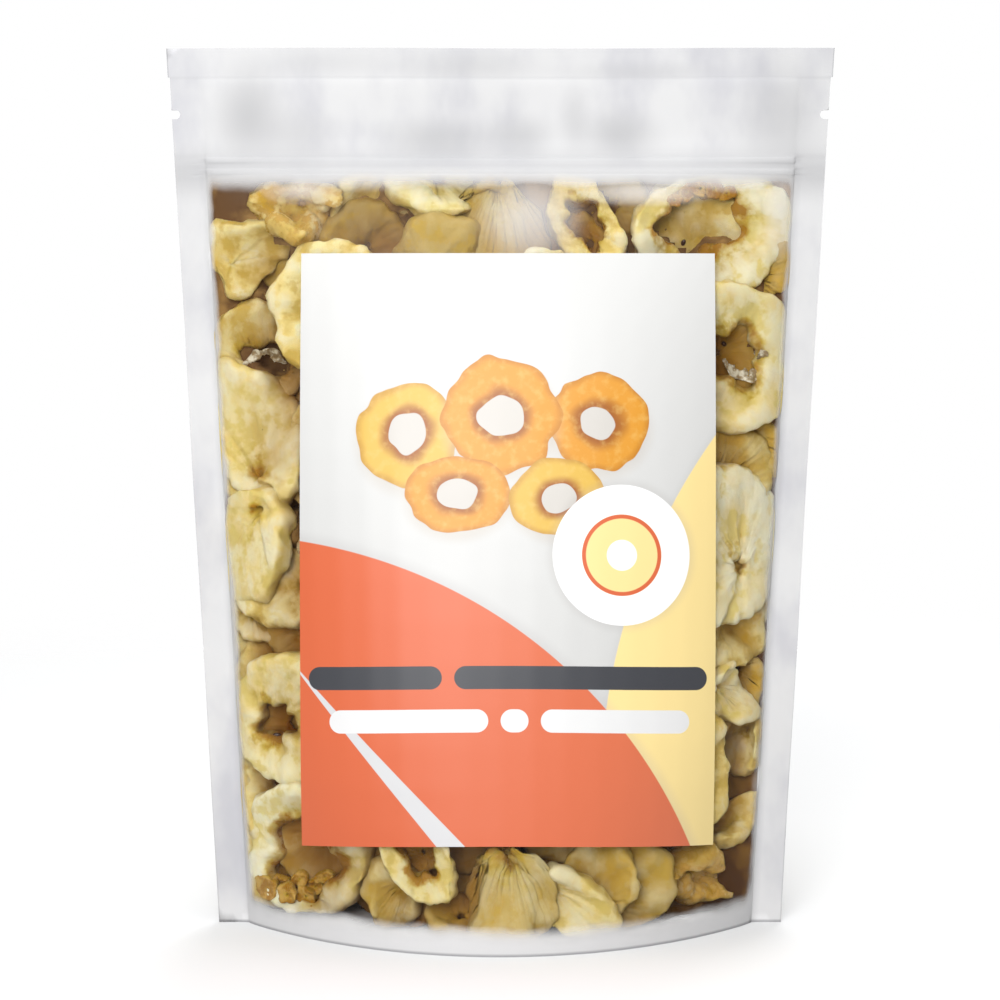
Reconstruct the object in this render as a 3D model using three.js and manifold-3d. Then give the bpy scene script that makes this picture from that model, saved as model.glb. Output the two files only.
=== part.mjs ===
// A stand-up zip pouch filled with dried apple rings, sealed along both sides and
// across the top, with a paper label on the front of its belly.
// Millimetres, +Z up, front towards -Y. The origin is on the ground, under the middle.

import * as THREE from "three";
import { mergeVertices } from "three/addons/utils/BufferGeometryUtils.js";
import Module from "manifold-3d";

// Driving dimensions of the pouch
const POUCH_HEIGHT = 297;
const TOP_WIDTH = 222; // across the sealed top edge
const BASE_WIDTH = 193; // between the outer edges of the side seals, at the ground
const HALF_DEPTH = 46; // from the seal plane to the front of the opened gusset
const CLOSED_AT = 262; // height at which the filled belly has tapered to nothing
const SIDE_SEAL = 10; // width of each side seal
const TOP_SEAL = 9.7; // height of the band sealed across the top
const TOP_SEAL_OVERHANG = 0.7; // the top band stands this far past each side seal
const TOP_SEAL_STEP = 0.2; // height in which the sheet widens to the top band
const SEAL_THICKNESS = 1;

// The belly in plan: a plain arc at the ground, squarer from BOXY_FROM upwards
const ARC_AT_GROUND = { flatness: 2, fullness: 0.92 };
const BOXY_ABOVE = { flatness: 2.3, fullness: 0.72 };
const BOXY_FROM = 70;
const TAPER_POWER = 2.6;
const TAPER_ROUNDNESS = 0.85;

// The press-to-close zip, the slack pocket above it and the soft buckles of the header
const ZIP_RIB_HEIGHTS = [255.8, 259.7];
const ZIP_RIB_WIDTH = 2.4;
const ZIP_RIB_RELIEF = 0.7;
const POCKET_RELIEF = 0.5;
const POCKET_EDGE = 1.5; // the pocket opens to its relief within this distance of a seal
const HEADER_BUCKLE = 1.5;
const HEADER_BUCKLES = 1.5; // how many waves cross the header
const HEADER_BUCKLE_PHASE = 0.7;
const BUCKLES_START = 205;
const BUCKLES_FULL = 280;
const SEAL_FLUTTER = 0.9;
const SEAL_FLUTTERS = 2.5; // how many waves run up each side seal
const FLUTTER_FULL = 60;
const FLUTTER_EDGE_POWER = 4;

// The gusset under the pouch: a narrow rim on the ground, and the film inside it higher
const RIM_WIDTH = 2.6;
const GUSSET_RISE = 4;
const GUSSET_SLOPE = 6;
const GUSSET_CREASE = 1;
const GUSSET_SHUT_BELOW = 4; // half the pouch's thickness where the gusset starts to open
const GUSSET_OPEN_ABOVE = 30; // and where it is fully open

// The tear notches in the side seals
const NOTCH_HEIGHT_AT = 275;
const NOTCH_DEPTH = 2.8;
const NOTCH_WIDTH = 3;
const NOTCH_CUTTER = 12; // thickness of the cutter, well past both faces of the seal

// The label
const LABEL_WIDTH = 137;
const LABEL_CENTRE_X = 2.7;
const LABEL_BOTTOM = 36.6;
const LABEL_TOP = 228.5;
const LABEL_SAG = 4.7; // the lower corners hang this far below the middle of the lower edge
const LABEL_SAG_POWER = 1.3; // how fast the sag dies out up the label
const LABEL_THICKNESS = 0.4;
const LABEL_GAP = 0.45;

// How finely the curved sheets are divided
const BELLY_COLUMNS = 26;
const BELLY_ROWS = 17;
const BELLY_ROWS_END = 232;
const SHOULDER_ROWS = [238, 251];
const HEADER_ROWS_START = 266;
const LABEL_COLUMNS = 16;
const LABEL_ROWS = 20;

const wasm = await Module();
wasm.setup();

const { clamp, lerp, smoothstep } = THREE.MathUtils;

// Evenly spaced values from one end to the other, both included.
function steps(from, to, count) {
  return Array.from({ length: count + 1 }, (_, k) => lerp(from, to, k / count));
}

// Half the pouch's width at a height, out to the edge of the side seal.
function outerHalf(z) {
  const inTopBand = z > POUCH_HEIGHT - TOP_SEAL + TOP_SEAL_STEP / 2;
  const sealEdge = lerp(BASE_WIDTH, TOP_WIDTH, z / POUCH_HEIGHT) / 2;
  return sealEdge + (inTopBand ? TOP_SEAL_OVERHANG : 0);
}

// Half the width between the side seals, which is where the panels part.
function innerHalf(z) {
  return lerp(BASE_WIDTH, TOP_WIDTH, z / POUCH_HEIGHT) / 2 - SIDE_SEAL;
}

// How far the belly stands out in front of the seal plane, on the middle line.
function bellyDepth(z) {
  const rise = clamp(z / CLOSED_AT, 0, 1);
  return HALF_DEPTH * Math.pow(1 - Math.pow(rise, TAPER_POWER), TAPER_ROUNDNESS);
}

// The belly's section across the pouch: 1 on the middle line, 0 at the seals.
function bellySection(x, z) {
  const across = clamp(Math.abs(x) / innerHalf(z), 0, 1);
  const boxy = smoothstep(z, 0, BOXY_FROM);
  const flatness = lerp(ARC_AT_GROUND.flatness, BOXY_ABOVE.flatness, boxy);
  const fullness = lerp(ARC_AT_GROUND.fullness, BOXY_ABOVE.fullness, boxy);
  return Math.pow(1 - Math.pow(across, flatness), fullness);
}

// Two ribs of the closed zip that show through the film on both faces.
function zipRelief(x, z) {
  if (Math.abs(x) >= innerHalf(z)) return 0;
  const nearest = Math.min(...ZIP_RIB_HEIGHTS.map((rib) => Math.abs(z - rib)));
  const half = ZIP_RIB_WIDTH / 2;
  return ZIP_RIB_RELIEF * (1 - smoothstep(nearest, half * 0.5, half));
}

// The film inside the seals stands a little apart where nothing fills it.
function pocketRelief(x, z) {
  const inside = innerHalf(z) - Math.abs(x);
  const below = POUCH_HEIGHT - TOP_SEAL - z;
  return POCKET_RELIEF * smoothstep(Math.min(inside, below), 0, POCKET_EDGE);
}

// Half the pouch's thickness at a place on its face.
function halfThickness(x, z) {
  const belly = bellyDepth(z) * bellySection(x, z);
  return SEAL_THICKNESS / 2 + belly + pocketRelief(x, z) + zipRelief(x, z);
}

// The whole sheet wanders from its plane: long buckles in the header, flutter in the seals.
function sheetWave(x, z) {
  const header = smoothstep(z, BUCKLES_START, BUCKLES_FULL);
  const buckles = Math.sin((x / TOP_WIDTH) * HEADER_BUCKLES * 2 * Math.PI + HEADER_BUCKLE_PHASE);
  const edge = Math.pow(clamp(Math.abs(x) / outerHalf(z), 0, 1), FLUTTER_EDGE_POWER);
  const waves = Math.sin((z / POUCH_HEIGHT) * SEAL_FLUTTERS * 2 * Math.PI);
  const flutter = waves * smoothstep(z, 0, FLUTTER_FULL);
  return HEADER_BUCKLE * header * buckles + SEAL_FLUTTER * edge * flutter * Math.sign(x);
}

// A point on the front (face -1) or back (face 1) of the pouch.
function facePoint(x, z, face) {
  return new THREE.Vector3(x, sheetWave(x, z) + face * halfThickness(x, z), z);
}

// Places across the pouch, as shares: seal edges, then closer together where the belly turns.
function acrossAt(z) {
  const inner = innerHalf(z);
  const belly = steps(-1, 1, BELLY_COLUMNS).map((t) => inner * Math.sin((t * Math.PI) / 2));
  return [-outerHalf(z), ...belly, outerHalf(z)];
}

// Heights at which the faces have a row of points.
function levels() {
  const half = ZIP_RIB_WIDTH / 2;
  const ribs = ZIP_RIB_HEIGHTS.flatMap((rib) => [rib - half, rib - half / 2, rib + half / 2, rib + half]);
  const topSealFoot = POUCH_HEIGHT - TOP_SEAL;
  return [
    ...steps(0, BELLY_ROWS_END, BELLY_ROWS),
    ...steps(...SHOULDER_ROWS, 2),
    ...ribs,
    ...steps(HEADER_ROWS_START, topSealFoot - POCKET_EDGE, 3),
    topSealFoot,
    topSealFoot + TOP_SEAL_STEP,
    POUCH_HEIGHT,
  ];
}

// Triangles of a sheet of points, with the faces turned over if asked.
function sheetTriangles(rows, turned) {
  const soup = [];
  for (let j = 0; j + 1 < rows.length; j++) {
    for (let i = 0; i + 1 < rows[j].length; i++) {
      const [a, b, c, d] = [rows[j][i], rows[j][i + 1], rows[j + 1][i + 1], rows[j + 1][i]];
      soup.push(...(turned ? [a, c, b, a, d, c] : [a, b, c, a, c, d]));
    }
  }
  return soup;
}

// Triangles between one edge of many points and an edge of two above it.
function fanTriangles(many, [first, last], turned) {
  const soup = [];
  for (let k = 0; k + 1 < many.length; k++) {
    soup.push(...(turned ? [many[k], first, many[k + 1]] : [many[k], many[k + 1], first]));
  }
  soup.push(...(turned ? [many.at(-1), first, last] : [many.at(-1), last, first]));
  return soup;
}

// One closed geometry from sheets whose edges meet, with shared points merged.
function closedGeometry(...soups) {
  const positions = soups.flat().flatMap((p) => [p.x, p.y, p.z]);
  const soup = new THREE.BufferGeometry();
  soup.setAttribute("position", new THREE.Float32BufferAttribute(positions, 3));
  return mergeVertices(soup, 1e-4);
}

// A manifold solid from a closed geometry.
function solidOf(geometry) {
  return new wasm.Manifold(
    new wasm.Mesh({
      numProp: 3,
      vertProperties: new Float32Array(geometry.attributes.position.array),
      triVerts: new Uint32Array(geometry.index.array),
    }),
  );
}

// A geometry from a manifold solid.
function geometryOf(solid) {
  const mesh = solid.getMesh();
  const geometry = new THREE.BufferGeometry();
  geometry.setAttribute("position", new THREE.BufferAttribute(mesh.vertProperties, 3));
  geometry.setIndex(new THREE.BufferAttribute(mesh.triVerts, 1));
  geometry.computeVertexNormals();
  return geometry;
}

// The underside of the pouch, from its front edge to its back edge.
function gussetRows(columns) {
  const front = columns.map((x) => facePoint(x, 0, -1));
  const back = columns.map((x) => facePoint(x, 0, 1));
  const distances = [0, RIM_WIDTH, RIM_WIDTH + GUSSET_SLOPE];
  // The point a set distance in from one edge, drawn closer where the pouch is thin.
  const inward = (i, distance, face) => {
    if (distance === 0) return face < 0 ? front[i] : back[i];
    const half = (back[i].y - front[i].y) / 2;
    const middle = (back[i].y + front[i].y) / 2;
    const open = smoothstep(half, GUSSET_SHUT_BELOW, GUSSET_OPEN_ABOVE);
    const offset = Math.min(distance, (half * distance) / (distances[2] * 2));
    const lift = distance > RIM_WIDTH ? GUSSET_RISE * open : 0;
    return new THREE.Vector3(columns[i], middle + face * (half - offset), lift);
  };
  const line = (distance, face) => columns.map((_, i) => inward(i, distance, face));
  const crease = columns.map((x, i) => {
    const half = (back[i].y - front[i].y) / 2;
    const open = smoothstep(half, GUSSET_SHUT_BELOW, GUSSET_OPEN_ABOVE);
    return new THREE.Vector3(x, (back[i].y + front[i].y) / 2, (GUSSET_RISE + GUSSET_CREASE) * open);
  });
  return [
    ...distances.map((distance) => line(distance, -1)),
    crease,
    ...distances.toReversed().map((distance) => line(distance, 1)),
  ];
}

// A round-ended bite that reaches in from one side seal (side -1 or 1).
function tearNotch(side) {
  const half = NOTCH_WIDTH / 2;
  const edge = outerHalf(NOTCH_HEIGHT_AT);
  const bite = new THREE.Shape();
  bite.moveTo(NOTCH_DEPTH, -half);
  bite.lineTo(0, -half);
  bite.absarc(-(NOTCH_DEPTH - half), 0, half, -Math.PI / 2, Math.PI / 2, true);
  bite.lineTo(NOTCH_DEPTH, half);
  bite.closePath();
  const cut = { depth: NOTCH_CUTTER, bevelEnabled: false, curveSegments: 8 };
  const geometry = new THREE.ExtrudeGeometry(bite, cut);
  geometry.translate(0, 0, -NOTCH_CUTTER / 2);
  geometry.rotateX(Math.PI / 2);
  if (side < 0) geometry.rotateZ(Math.PI);
  geometry.translate(side * edge, 0, NOTCH_HEIGHT_AT);
  geometry.deleteAttribute("normal");
  geometry.deleteAttribute("uv");
  return solidOf(mergeVertices(geometry, 1e-4));
}

// The filled pouch: film, zip and what is packed in it, out to the film's outer face.
function filledPouch() {
  const heights = levels();
  const front = heights.map((z) => acrossAt(z).map((x) => facePoint(x, z, -1)));
  const back = heights.map((z) => acrossAt(z).map((x) => facePoint(x, z, 1)));
  const left = heights.map((_, j) => [front[j][0], back[j][0]]);
  const right = heights.map((_, j) => [front[j].at(-1), back[j].at(-1)]);
  const gusset = gussetRows(acrossAt(0));
  const geometry = closedGeometry(
    sheetTriangles(front, false),
    sheetTriangles(back, true),
    sheetTriangles(left.slice(1), true),
    sheetTriangles(right.slice(1), false),
    sheetTriangles([front.at(-1), back.at(-1)], false),
    sheetTriangles(gusset, true),
    fanTriangles(gusset.map((line) => line[0]), left[1], true),
    fanTriangles(gusset.map((line) => line.at(-1)), right[1], false),
  );
  const notched = solidOf(geometry).subtract(tearNotch(-1)).subtract(tearNotch(1));
  return geometryOf(notched);
}

// How far a place on the label hangs below a level line, as the sheet bends round the belly.
function labelSag(x, z) {
  const up = (z - LABEL_BOTTOM) / (LABEL_TOP - LABEL_BOTTOM);
  return LABEL_SAG * Math.pow(x / (LABEL_WIDTH / 2), 2) * Math.pow(1 - up, LABEL_SAG_POWER);
}

// The label: a thin sheet that follows the front of the belly.
function label() {
  const heights = steps(LABEL_BOTTOM, LABEL_TOP, LABEL_ROWS);
  const across = steps(-LABEL_WIDTH / 2, LABEL_WIDTH / 2, LABEL_COLUMNS).map((x) => x + LABEL_CENTRE_X);
  const labelPoint = (x, z, lift) =>
    facePoint(x, z - labelSag(x, z), -1).add(new THREE.Vector3(0, -lift, 0));
  const sheetAt = (lift) => heights.map((z) => across.map((x) => labelPoint(x, z, lift)));
  const outer = sheetAt(LABEL_GAP + LABEL_THICKNESS);
  const inner = sheetAt(LABEL_GAP);
  const geometry = closedGeometry(
    sheetTriangles(outer, false),
    sheetTriangles(inner, true),
    sheetTriangles(heights.map((_, j) => [outer[j][0], inner[j][0]]), true),
    sheetTriangles(heights.map((_, j) => [outer[j].at(-1), inner[j].at(-1)]), false),
    sheetTriangles([outer.at(-1), inner.at(-1)], false),
    sheetTriangles([outer[0], inner[0]], true),
  );
  geometry.computeVertexNormals();
  return geometry;
}

function namedMesh(name, geometry, look) {
  const mesh = new THREE.Mesh(geometry, new THREE.MeshStandardMaterial(look));
  mesh.name = name;
  return mesh;
}

const pouch = new THREE.Group();
pouch.add(namedMesh("filled_pouch", filledPouch(), { color: "#ddd2a4", roughness: 0.35, metalness: 0 }));
pouch.add(namedMesh("label", label(), { color: "#f2866a", roughness: 0.5, metalness: 0 }));

export default pouch;
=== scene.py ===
# %% [markdown]
# A stand-up pouch of dried apple rings. The real thing is a clear plastic pouch with frosted
# borders, packed with leathery rings of apple, and with a printed label on its front.
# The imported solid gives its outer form. This lesson puts a thin film in its place, fills it
# with separate rings, and finishes the label, the zip, the light and the camera.

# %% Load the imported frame
import math

import bpy
import numpy as np
from mathutils import Matrix, Vector
from mathutils.bvhtree import BVHTree


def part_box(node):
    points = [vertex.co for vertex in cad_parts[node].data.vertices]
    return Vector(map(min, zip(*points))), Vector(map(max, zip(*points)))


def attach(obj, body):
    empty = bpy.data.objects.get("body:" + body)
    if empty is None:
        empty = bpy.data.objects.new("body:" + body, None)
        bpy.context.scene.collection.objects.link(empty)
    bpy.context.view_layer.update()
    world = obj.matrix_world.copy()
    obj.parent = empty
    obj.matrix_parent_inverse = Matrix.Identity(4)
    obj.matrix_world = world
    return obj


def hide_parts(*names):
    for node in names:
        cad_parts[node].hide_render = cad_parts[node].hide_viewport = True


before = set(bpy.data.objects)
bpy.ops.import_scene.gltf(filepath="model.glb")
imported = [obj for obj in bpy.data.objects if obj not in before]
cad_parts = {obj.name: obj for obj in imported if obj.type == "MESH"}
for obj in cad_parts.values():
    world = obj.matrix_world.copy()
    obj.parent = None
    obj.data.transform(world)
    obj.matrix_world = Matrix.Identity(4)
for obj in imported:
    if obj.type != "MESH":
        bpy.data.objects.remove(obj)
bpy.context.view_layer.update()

MM = 0.001
DEGREE = math.pi / 180
print("frame nodes:", sorted(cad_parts))

# %% [markdown]
# Everything is placed against the pouch's own faces, so the first step reads them from the
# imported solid. Rays sent through it from the front and the back tell how far each face
# stands from the seal plane, on a fine grid of places across and up the pouch.

# %% Read the two faces of the pouch
SIDE_SEAL = 10 * MM
FACE_STEP = 2 * MM
RAYS_FROM = 200 * MM  # well outside the pouch
pouch_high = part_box("filled_pouch")[1]
pouch_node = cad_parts["filled_pouch"]
pouch_points = np.array([v.co for v in pouch_node.data.vertices])
pouch_skin = BVHTree.FromPolygons(
    [v.co for v in pouch_node.data.vertices],
    [p.vertices for p in pouch_node.data.polygons],
)


def half_width_near(z, reach=6 * MM):
    """Half the pouch's width, measured on the solid's points near a height."""
    near = pouch_points[np.abs(pouch_points[:, 2] - z) < reach]
    return np.abs(near[:, 0]).max()


POUCH_HEIGHT = pouch_high.z
BASE_HALF = half_width_near(0.0)
TOP_HALF = pouch_high.x
face_x = np.arange(-TOP_HALF, TOP_HALF + FACE_STEP, FACE_STEP)
face_z = np.arange(0.5 * MM, POUCH_HEIGHT, FACE_STEP)


def read_face(side):
    """Distances along Y of the front (side -1) or back (side 1) face, seam plane where missed."""
    start = side * RAYS_FROM
    rows = np.zeros((len(face_x), len(face_z)))
    for i, x in enumerate(face_x):
        for j, z in enumerate(face_z):
            hit = pouch_skin.ray_cast(Vector((x, start, z)), Vector((0, -side, 0)))[0]
            rows[i, j] = hit.y if hit else 0.0
    return rows


front_face = read_face(-1)
back_face = read_face(1)


def face_at(face, x, z):
    """The face's distance along Y at any places, between the places that were read."""
    i = np.clip((x - face_x[0]) / FACE_STEP, 0, len(face_x) - 1.001)
    j = np.clip((z - face_z[0]) / FACE_STEP, 0, len(face_z) - 1.001)
    a, b = i.astype(int), j.astype(int)
    u, v = i - a, j - b
    low = face[a, b] * (1 - u) + face[a + 1, b] * u
    high = face[a, b + 1] * (1 - u) + face[a + 1, b + 1] * u
    return low * (1 - v) + high * v


def half_width(z):
    """Half the pouch's width at a height, out to the edge of the side seal."""
    return BASE_HALF + (TOP_HALF - BASE_HALF) * z / POUCH_HEIGHT


print("faces read:", front_face.shape, "deepest", round(float(-front_face.min()) / MM, 1), "mm")

# %% [markdown]
# The camera stands where the photograph was taken from: in front of the pouch, a little
# above its middle, and looking slightly down. It comes before the rings, because some of
# them are placed by where they show in the picture.

# %% Camera
CAMERA_DISTANCE = 0.850
CAMERA_HEIGHT = 0.2149
CAMERA_PITCH = 4.669 * DEGREE
CAMERA_LENS = 90.5
SENSOR = 36.0
IMAGE_SIZE = 1000

camera_data = bpy.data.cameras.new("camera")
camera_data.lens = CAMERA_LENS
camera_data.sensor_width = SENSOR
camera = bpy.data.objects.new("camera", camera_data)
camera.location = (0, -CAMERA_DISTANCE, CAMERA_HEIGHT)
camera.rotation_euler = (math.pi / 2 - CAMERA_PITCH, 0, 0)
bpy.context.scene.collection.objects.link(camera)
bpy.context.scene.camera = camera
bpy.context.view_layer.update()


def front_at_pixel(px, py):
    """Where the line of sight through a pixel meets the front of the pouch."""
    scale = SENSOR / CAMERA_LENS / IMAGE_SIZE
    along = Vector(((px - IMAGE_SIZE / 2) * scale, (IMAGE_SIZE / 2 - py) * scale, -1))
    direction = camera.matrix_world.to_3x3() @ along
    hit = pouch_skin.ray_cast(camera.location, direction.normalized())[0]
    return hit


print("the middle of the picture meets the pouch at", front_at_pixel(500, 500))

# %% [markdown]
# A dried apple ring is a slice across the apple with its core cut out. Drying draws it in
# unevenly: the outline goes lobed, the hole takes the star of the seed pockets, the rim
# stays plump while the flesh beside it sinks, and the whole slice cups, twists or folds.
# There are dozens of them, so each is worked out on arrays as a closed tube round the hole.

# %% Shape one ring
# Points round a ring and round its section: for rings that show, and for the others
AROUND_FINE, SECTION_FINE = 112, 26
AROUND_PLAIN, SECTION_PLAIN = 84, 20
# How deep the creases round the core are in a ring and in a slice without a hole (mm)
RING_CREASES, SLICE_CREASES = 0.75, 0.3
NO_HOLE = 1


def relief(points, size, rng, waves=12):
    """Smooth random bumps from about -1 to 1, each about `size` across."""
    directions = rng.normal(size=(waves, 3))
    directions /= np.linalg.norm(directions, axis=1, keepdims=True)
    turns = 2 * math.pi / size * rng.uniform(0.6, 1.5, waves)
    phases = rng.uniform(0, 2 * math.pi, waves)
    angle = points @ (directions * turns[:, None]).T + phases
    return np.sin(angle).sum(-1) / math.sqrt(waves)


def lobes(theta, rng, orders, size):
    """An uneven outline: a few slow waves round the ring, weaker the faster they turn."""
    total = np.zeros_like(theta)
    for order in orders:
        total += rng.normal() * np.cos(order * theta + rng.uniform(0, 2 * math.pi)) / order**0.6
    return size * total


def smooth(value, low, high):
    """A soft step from 0 to 1 between two limits."""
    t = np.clip((value - low) / (high - low), 0, 1)
    return t * t * (3 - 2 * t)


def outward(points, closed):
    """Unit normals of a grid of points that goes round a ring and round its section."""
    if closed:
        along = np.roll(points, -1, 0) - np.roll(points, 1, 0)
    else:
        along = np.gradient(points, axis=0)
    round_section = np.roll(points, -1, 1) - np.roll(points, 1, 1)
    normal = np.cross(along, round_section)
    return normal / np.maximum(np.linalg.norm(normal, axis=-1, keepdims=True), 1e-12)


def folded(points, angle, width):
    """Bends a shape about a line along Y: both sides rise to `angle` within `width` of it."""
    if abs(angle) < 1e-6:
        return points
    s = points[..., 0]
    inside = np.clip(s, -width, width)
    turn = angle * inside / width
    beyond = s - inside
    radius = width / angle
    x = radius * np.sin(turn) + beyond * np.cos(turn)
    z = radius * (1 - np.cos(turn)) + beyond * np.sin(turn)
    height = points[..., 2]
    return np.stack([x - height * np.sin(turn), points[..., 1], z + height * np.cos(turn)], -1)


def ring_shape(rng, radius=25, hole=9, thick=9, squash=1, hole_at=(0, 0), cup=2, saddle=3, wave=1.5,
               fold=0, fold_width=9, lobed=1, corners=0, ridges=0.16, arc=None, fine=False, scale=1):
    """Points (around, section, 3) of one ring in metres, and four things that its colours follow."""
    around, section = (AROUND_FINE, SECTION_FINE) if fine else (AROUND_PLAIN, SECTION_PLAIN)
    if arc is None:
        theta = np.linspace(0, 2 * math.pi, around, endpoint=False)[:, None]
        taper = np.ones_like(theta)
    else:
        around = int(around * arc / 360) + 8
        theta = np.linspace(0, arc * DEGREE, around)[:, None]
        ends = np.minimum(theta, arc * DEGREE - theta) * radius / 5
        taper = np.sqrt(np.clip(1 - (1 - np.clip(ends, 0, 1)) ** 2, 0.004, 1))
    phi = np.linspace(0, 2 * math.pi, section, endpoint=False)[None, :]
    three_corners = corners * (np.cos(3 * theta) + 0.3 * np.cos(6 * theta))
    outer = radius * (1 + three_corners + lobes(theta, rng, (2, 3, 4, 5, 7), 0.045 * lobed))
    star = 0.16 * np.cos(5 * theta + rng.uniform(0, 6)) + lobes(theta, rng, (2, 3, 8), 0.10)
    inner = np.minimum(hole * (1 + star), outer - 5)
    swing, lift = np.cos(phi), np.sin(phi)
    share = 0.5 + 0.5 * np.sign(swing) * np.abs(swing) ** 0.7
    across = 0.5 + (share - 0.5) * taper
    x = (hole_at[0] + inner * np.cos(theta)) * (1 - across) + outer * np.cos(theta) * across
    y = (hole_at[1] + inner * np.sin(theta)) * (1 - across) + outer * np.sin(theta) * across
    plump = 0.78 + 0.34 * smooth(share, 0.1, 0.95) - 0.14 * np.sin(math.pi * share) ** 2
    uneven = 1 + lobes(theta, rng, (1, 2, 3, 5), 0.09)
    height = thick / 2 * np.sign(lift) * np.abs(lift) ** 0.62 * plump * uneven * taper
    from_core = np.hypot(x - hole_at[0], y - hole_at[1])
    pleated = smooth(from_core, 2, 9)
    streaks = np.cos(23 * theta + 3 * np.sin(3 * theta)) + 0.7 * np.cos(37 * theta + 1.3)
    toward_core = 0.25 + 0.75 * (1 - share) ** 2
    height = height + ridges * streaks * toward_core * np.sign(lift) * taper * pleated
    creases = lobes(theta, rng, (5, 8, 11), RING_CREASES if hole > NO_HOLE else SLICE_CREASES)
    height = height + creases * (1 - share) ** 1.5 * pleated
    points = np.stack(np.broadcast_arrays(x, y * squash, height), -1).copy()
    reach = np.hypot(x, y) / radius
    turn_two, turn_three, turn_six = rng.uniform(0, 2 * math.pi, 3)
    points[..., 2] += cup * reach**2
    points[..., 2] += saddle * reach**2 * np.cos(2 * theta + turn_two)
    points[..., 2] += wave * reach**3 * np.cos(3 * theta + turn_three)
    points[..., 2] += 0.5 * wave * reach**4 * np.cos(6 * theta + turn_six)
    points = folded(points, fold * DEGREE, fold_width)
    normal = outward(points, arc is None)
    bumps = 0.80 * relief(points, 14, rng) + 0.44 * relief(points, 6.5, rng)
    fine_bumps = 0.21 * relief(points, 3.2, rng)
    points = points + normal * ((bumps + fine_bumps) * taper)[..., None]
    centre = points.reshape(-1, 3).mean(0)
    flesh = np.stack(np.broadcast_arrays(np.cos(theta), np.sin(theta), share), -1)
    raised = bumps + 1.2 * creases * (1 - share) ** 1.5 * np.sign(lift)
    return (points - centre) * scale * MM, flesh, pleated * min(1, 0.1 + 1.3 * ridges), raised


trial = ring_shape(np.random.default_rng(1))[0]
print("a trial ring measures", np.round(np.ptp(trial.reshape(-1, 3), 0) / MM, 1), "mm")

# %% [markdown]
# The rings that the photograph shows best are placed one by one: a pixel says where each
# meets the film, and the other numbers say how large it is, how it lies and how it is bent.
# All the others follow a rule. They lie in loose layers behind both faces of the film.

# %% The rings that show best, along the top
# name, place (pixel), depth, lean right, lean up, spin, then what sets the ring apart
SHOWN_TOP = [
    ("top_right_ring", 713, 223, 4, -4, -4, 12,
     dict(radius=27.5, squash=0.80, hole=13, hole_at=(-4, 6), thick=11, saddle=1, tone=1.15, sugar=1.0)),
    ("top_right_inner", 704, 236, 16, 0, 0, 0,
     dict(radius=19, hole=0.4, hole_at=(2, -9), ridges=0.05, tone=0.6, gold=0.3)),
    ("top_right_corner", 774, 268, 12, 0, 0, 30,
     dict(radius=11, hole=1.2, hole_at=(-8, 0), thick=8, ridges=0.4, tone=0.2, gold=0.6)),
    ("top_crumple", 295, 204, 2, -4, 5, -88,
     dict(radius=13.5, corners=0.16, hole=0.4, hole_at=(-3, 3), fold=24, fold_width=5, wave=4, thick=12,
          lobed=1.3, ridges=0.05, tone=0.95, gold=1.15, sugar=0.9)),
    ("left_flap", 234, 256, 4, -8, 8, 24,
     dict(radius=15, squash=0.8, corners=0.2, hole=0.4, hole_at=(-7, -2), thick=7, ridges=0.04, tone=0.7,
          gold=0.1, sugar=0.0)),
    ("left_upright", 331, 306, 3, 0, 0, 0,
     dict(radius=20.5, squash=1.15, hole=6, thick=11, tone=0.85, gold=0.1)),
    ("top_slice", 384, 170, 5, 6, -8, 0,
     dict(radius=17, hole=1.2, hole_at=(0, 10), thick=8, tone=0.68, gold=0.6)),
    ("top_band", 436, 170, 3, 0, 0, -22,
     dict(radius=17, squash=0.62, hole=1.2, hole_at=(0, 6), thick=8, tone=1.0)),
    ("top_shade", 436, 260, 8, 0, 0, 0,
     dict(radius=15, hole=0.4, hole_at=(0, -8), cup=-4, thick=9, ridges=0.05, tone=0.25, gold=0.0)),
    ("top_fan", 499, 208, 3, 0, 0, 0,
     dict(radius=14, squash=1.3, hole=1.2, hole_at=(0, 16), fold=-50, ridges=0.7, tone=0.35, gold=0.1)),
    ("top_crescent", 548, 292, 3, 0, 0, 0, dict(radius=15, hole=2, thick=8, tone=1.1)),
    ("top_slit", 588, 220, 3, 0, 0, -58,
     dict(radius=18.5, squash=0.60, hole=8.5, thick=12, saddle=1, tone=0.95, gold=0.2, sugar=1.0)),
    ("top_slit_floor", 586, 234, 12, 0, 0, 0,
     dict(radius=11, hole=0.4, hole_at=(6, 0), thick=7, ridges=0.3, tone=0.0, gold=1.2)),
    ("top_scrap", 618, 198, 8, 0, 0, 0, dict(radius=12, hole=2, thick=6, tone=0.3, gold=0.5)),
    ("top_left_back", 362, 240, 13, 0, 0, 0, dict(radius=16, hole=2, thick=8, tone=0.15, gold=0.2)),
]

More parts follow.
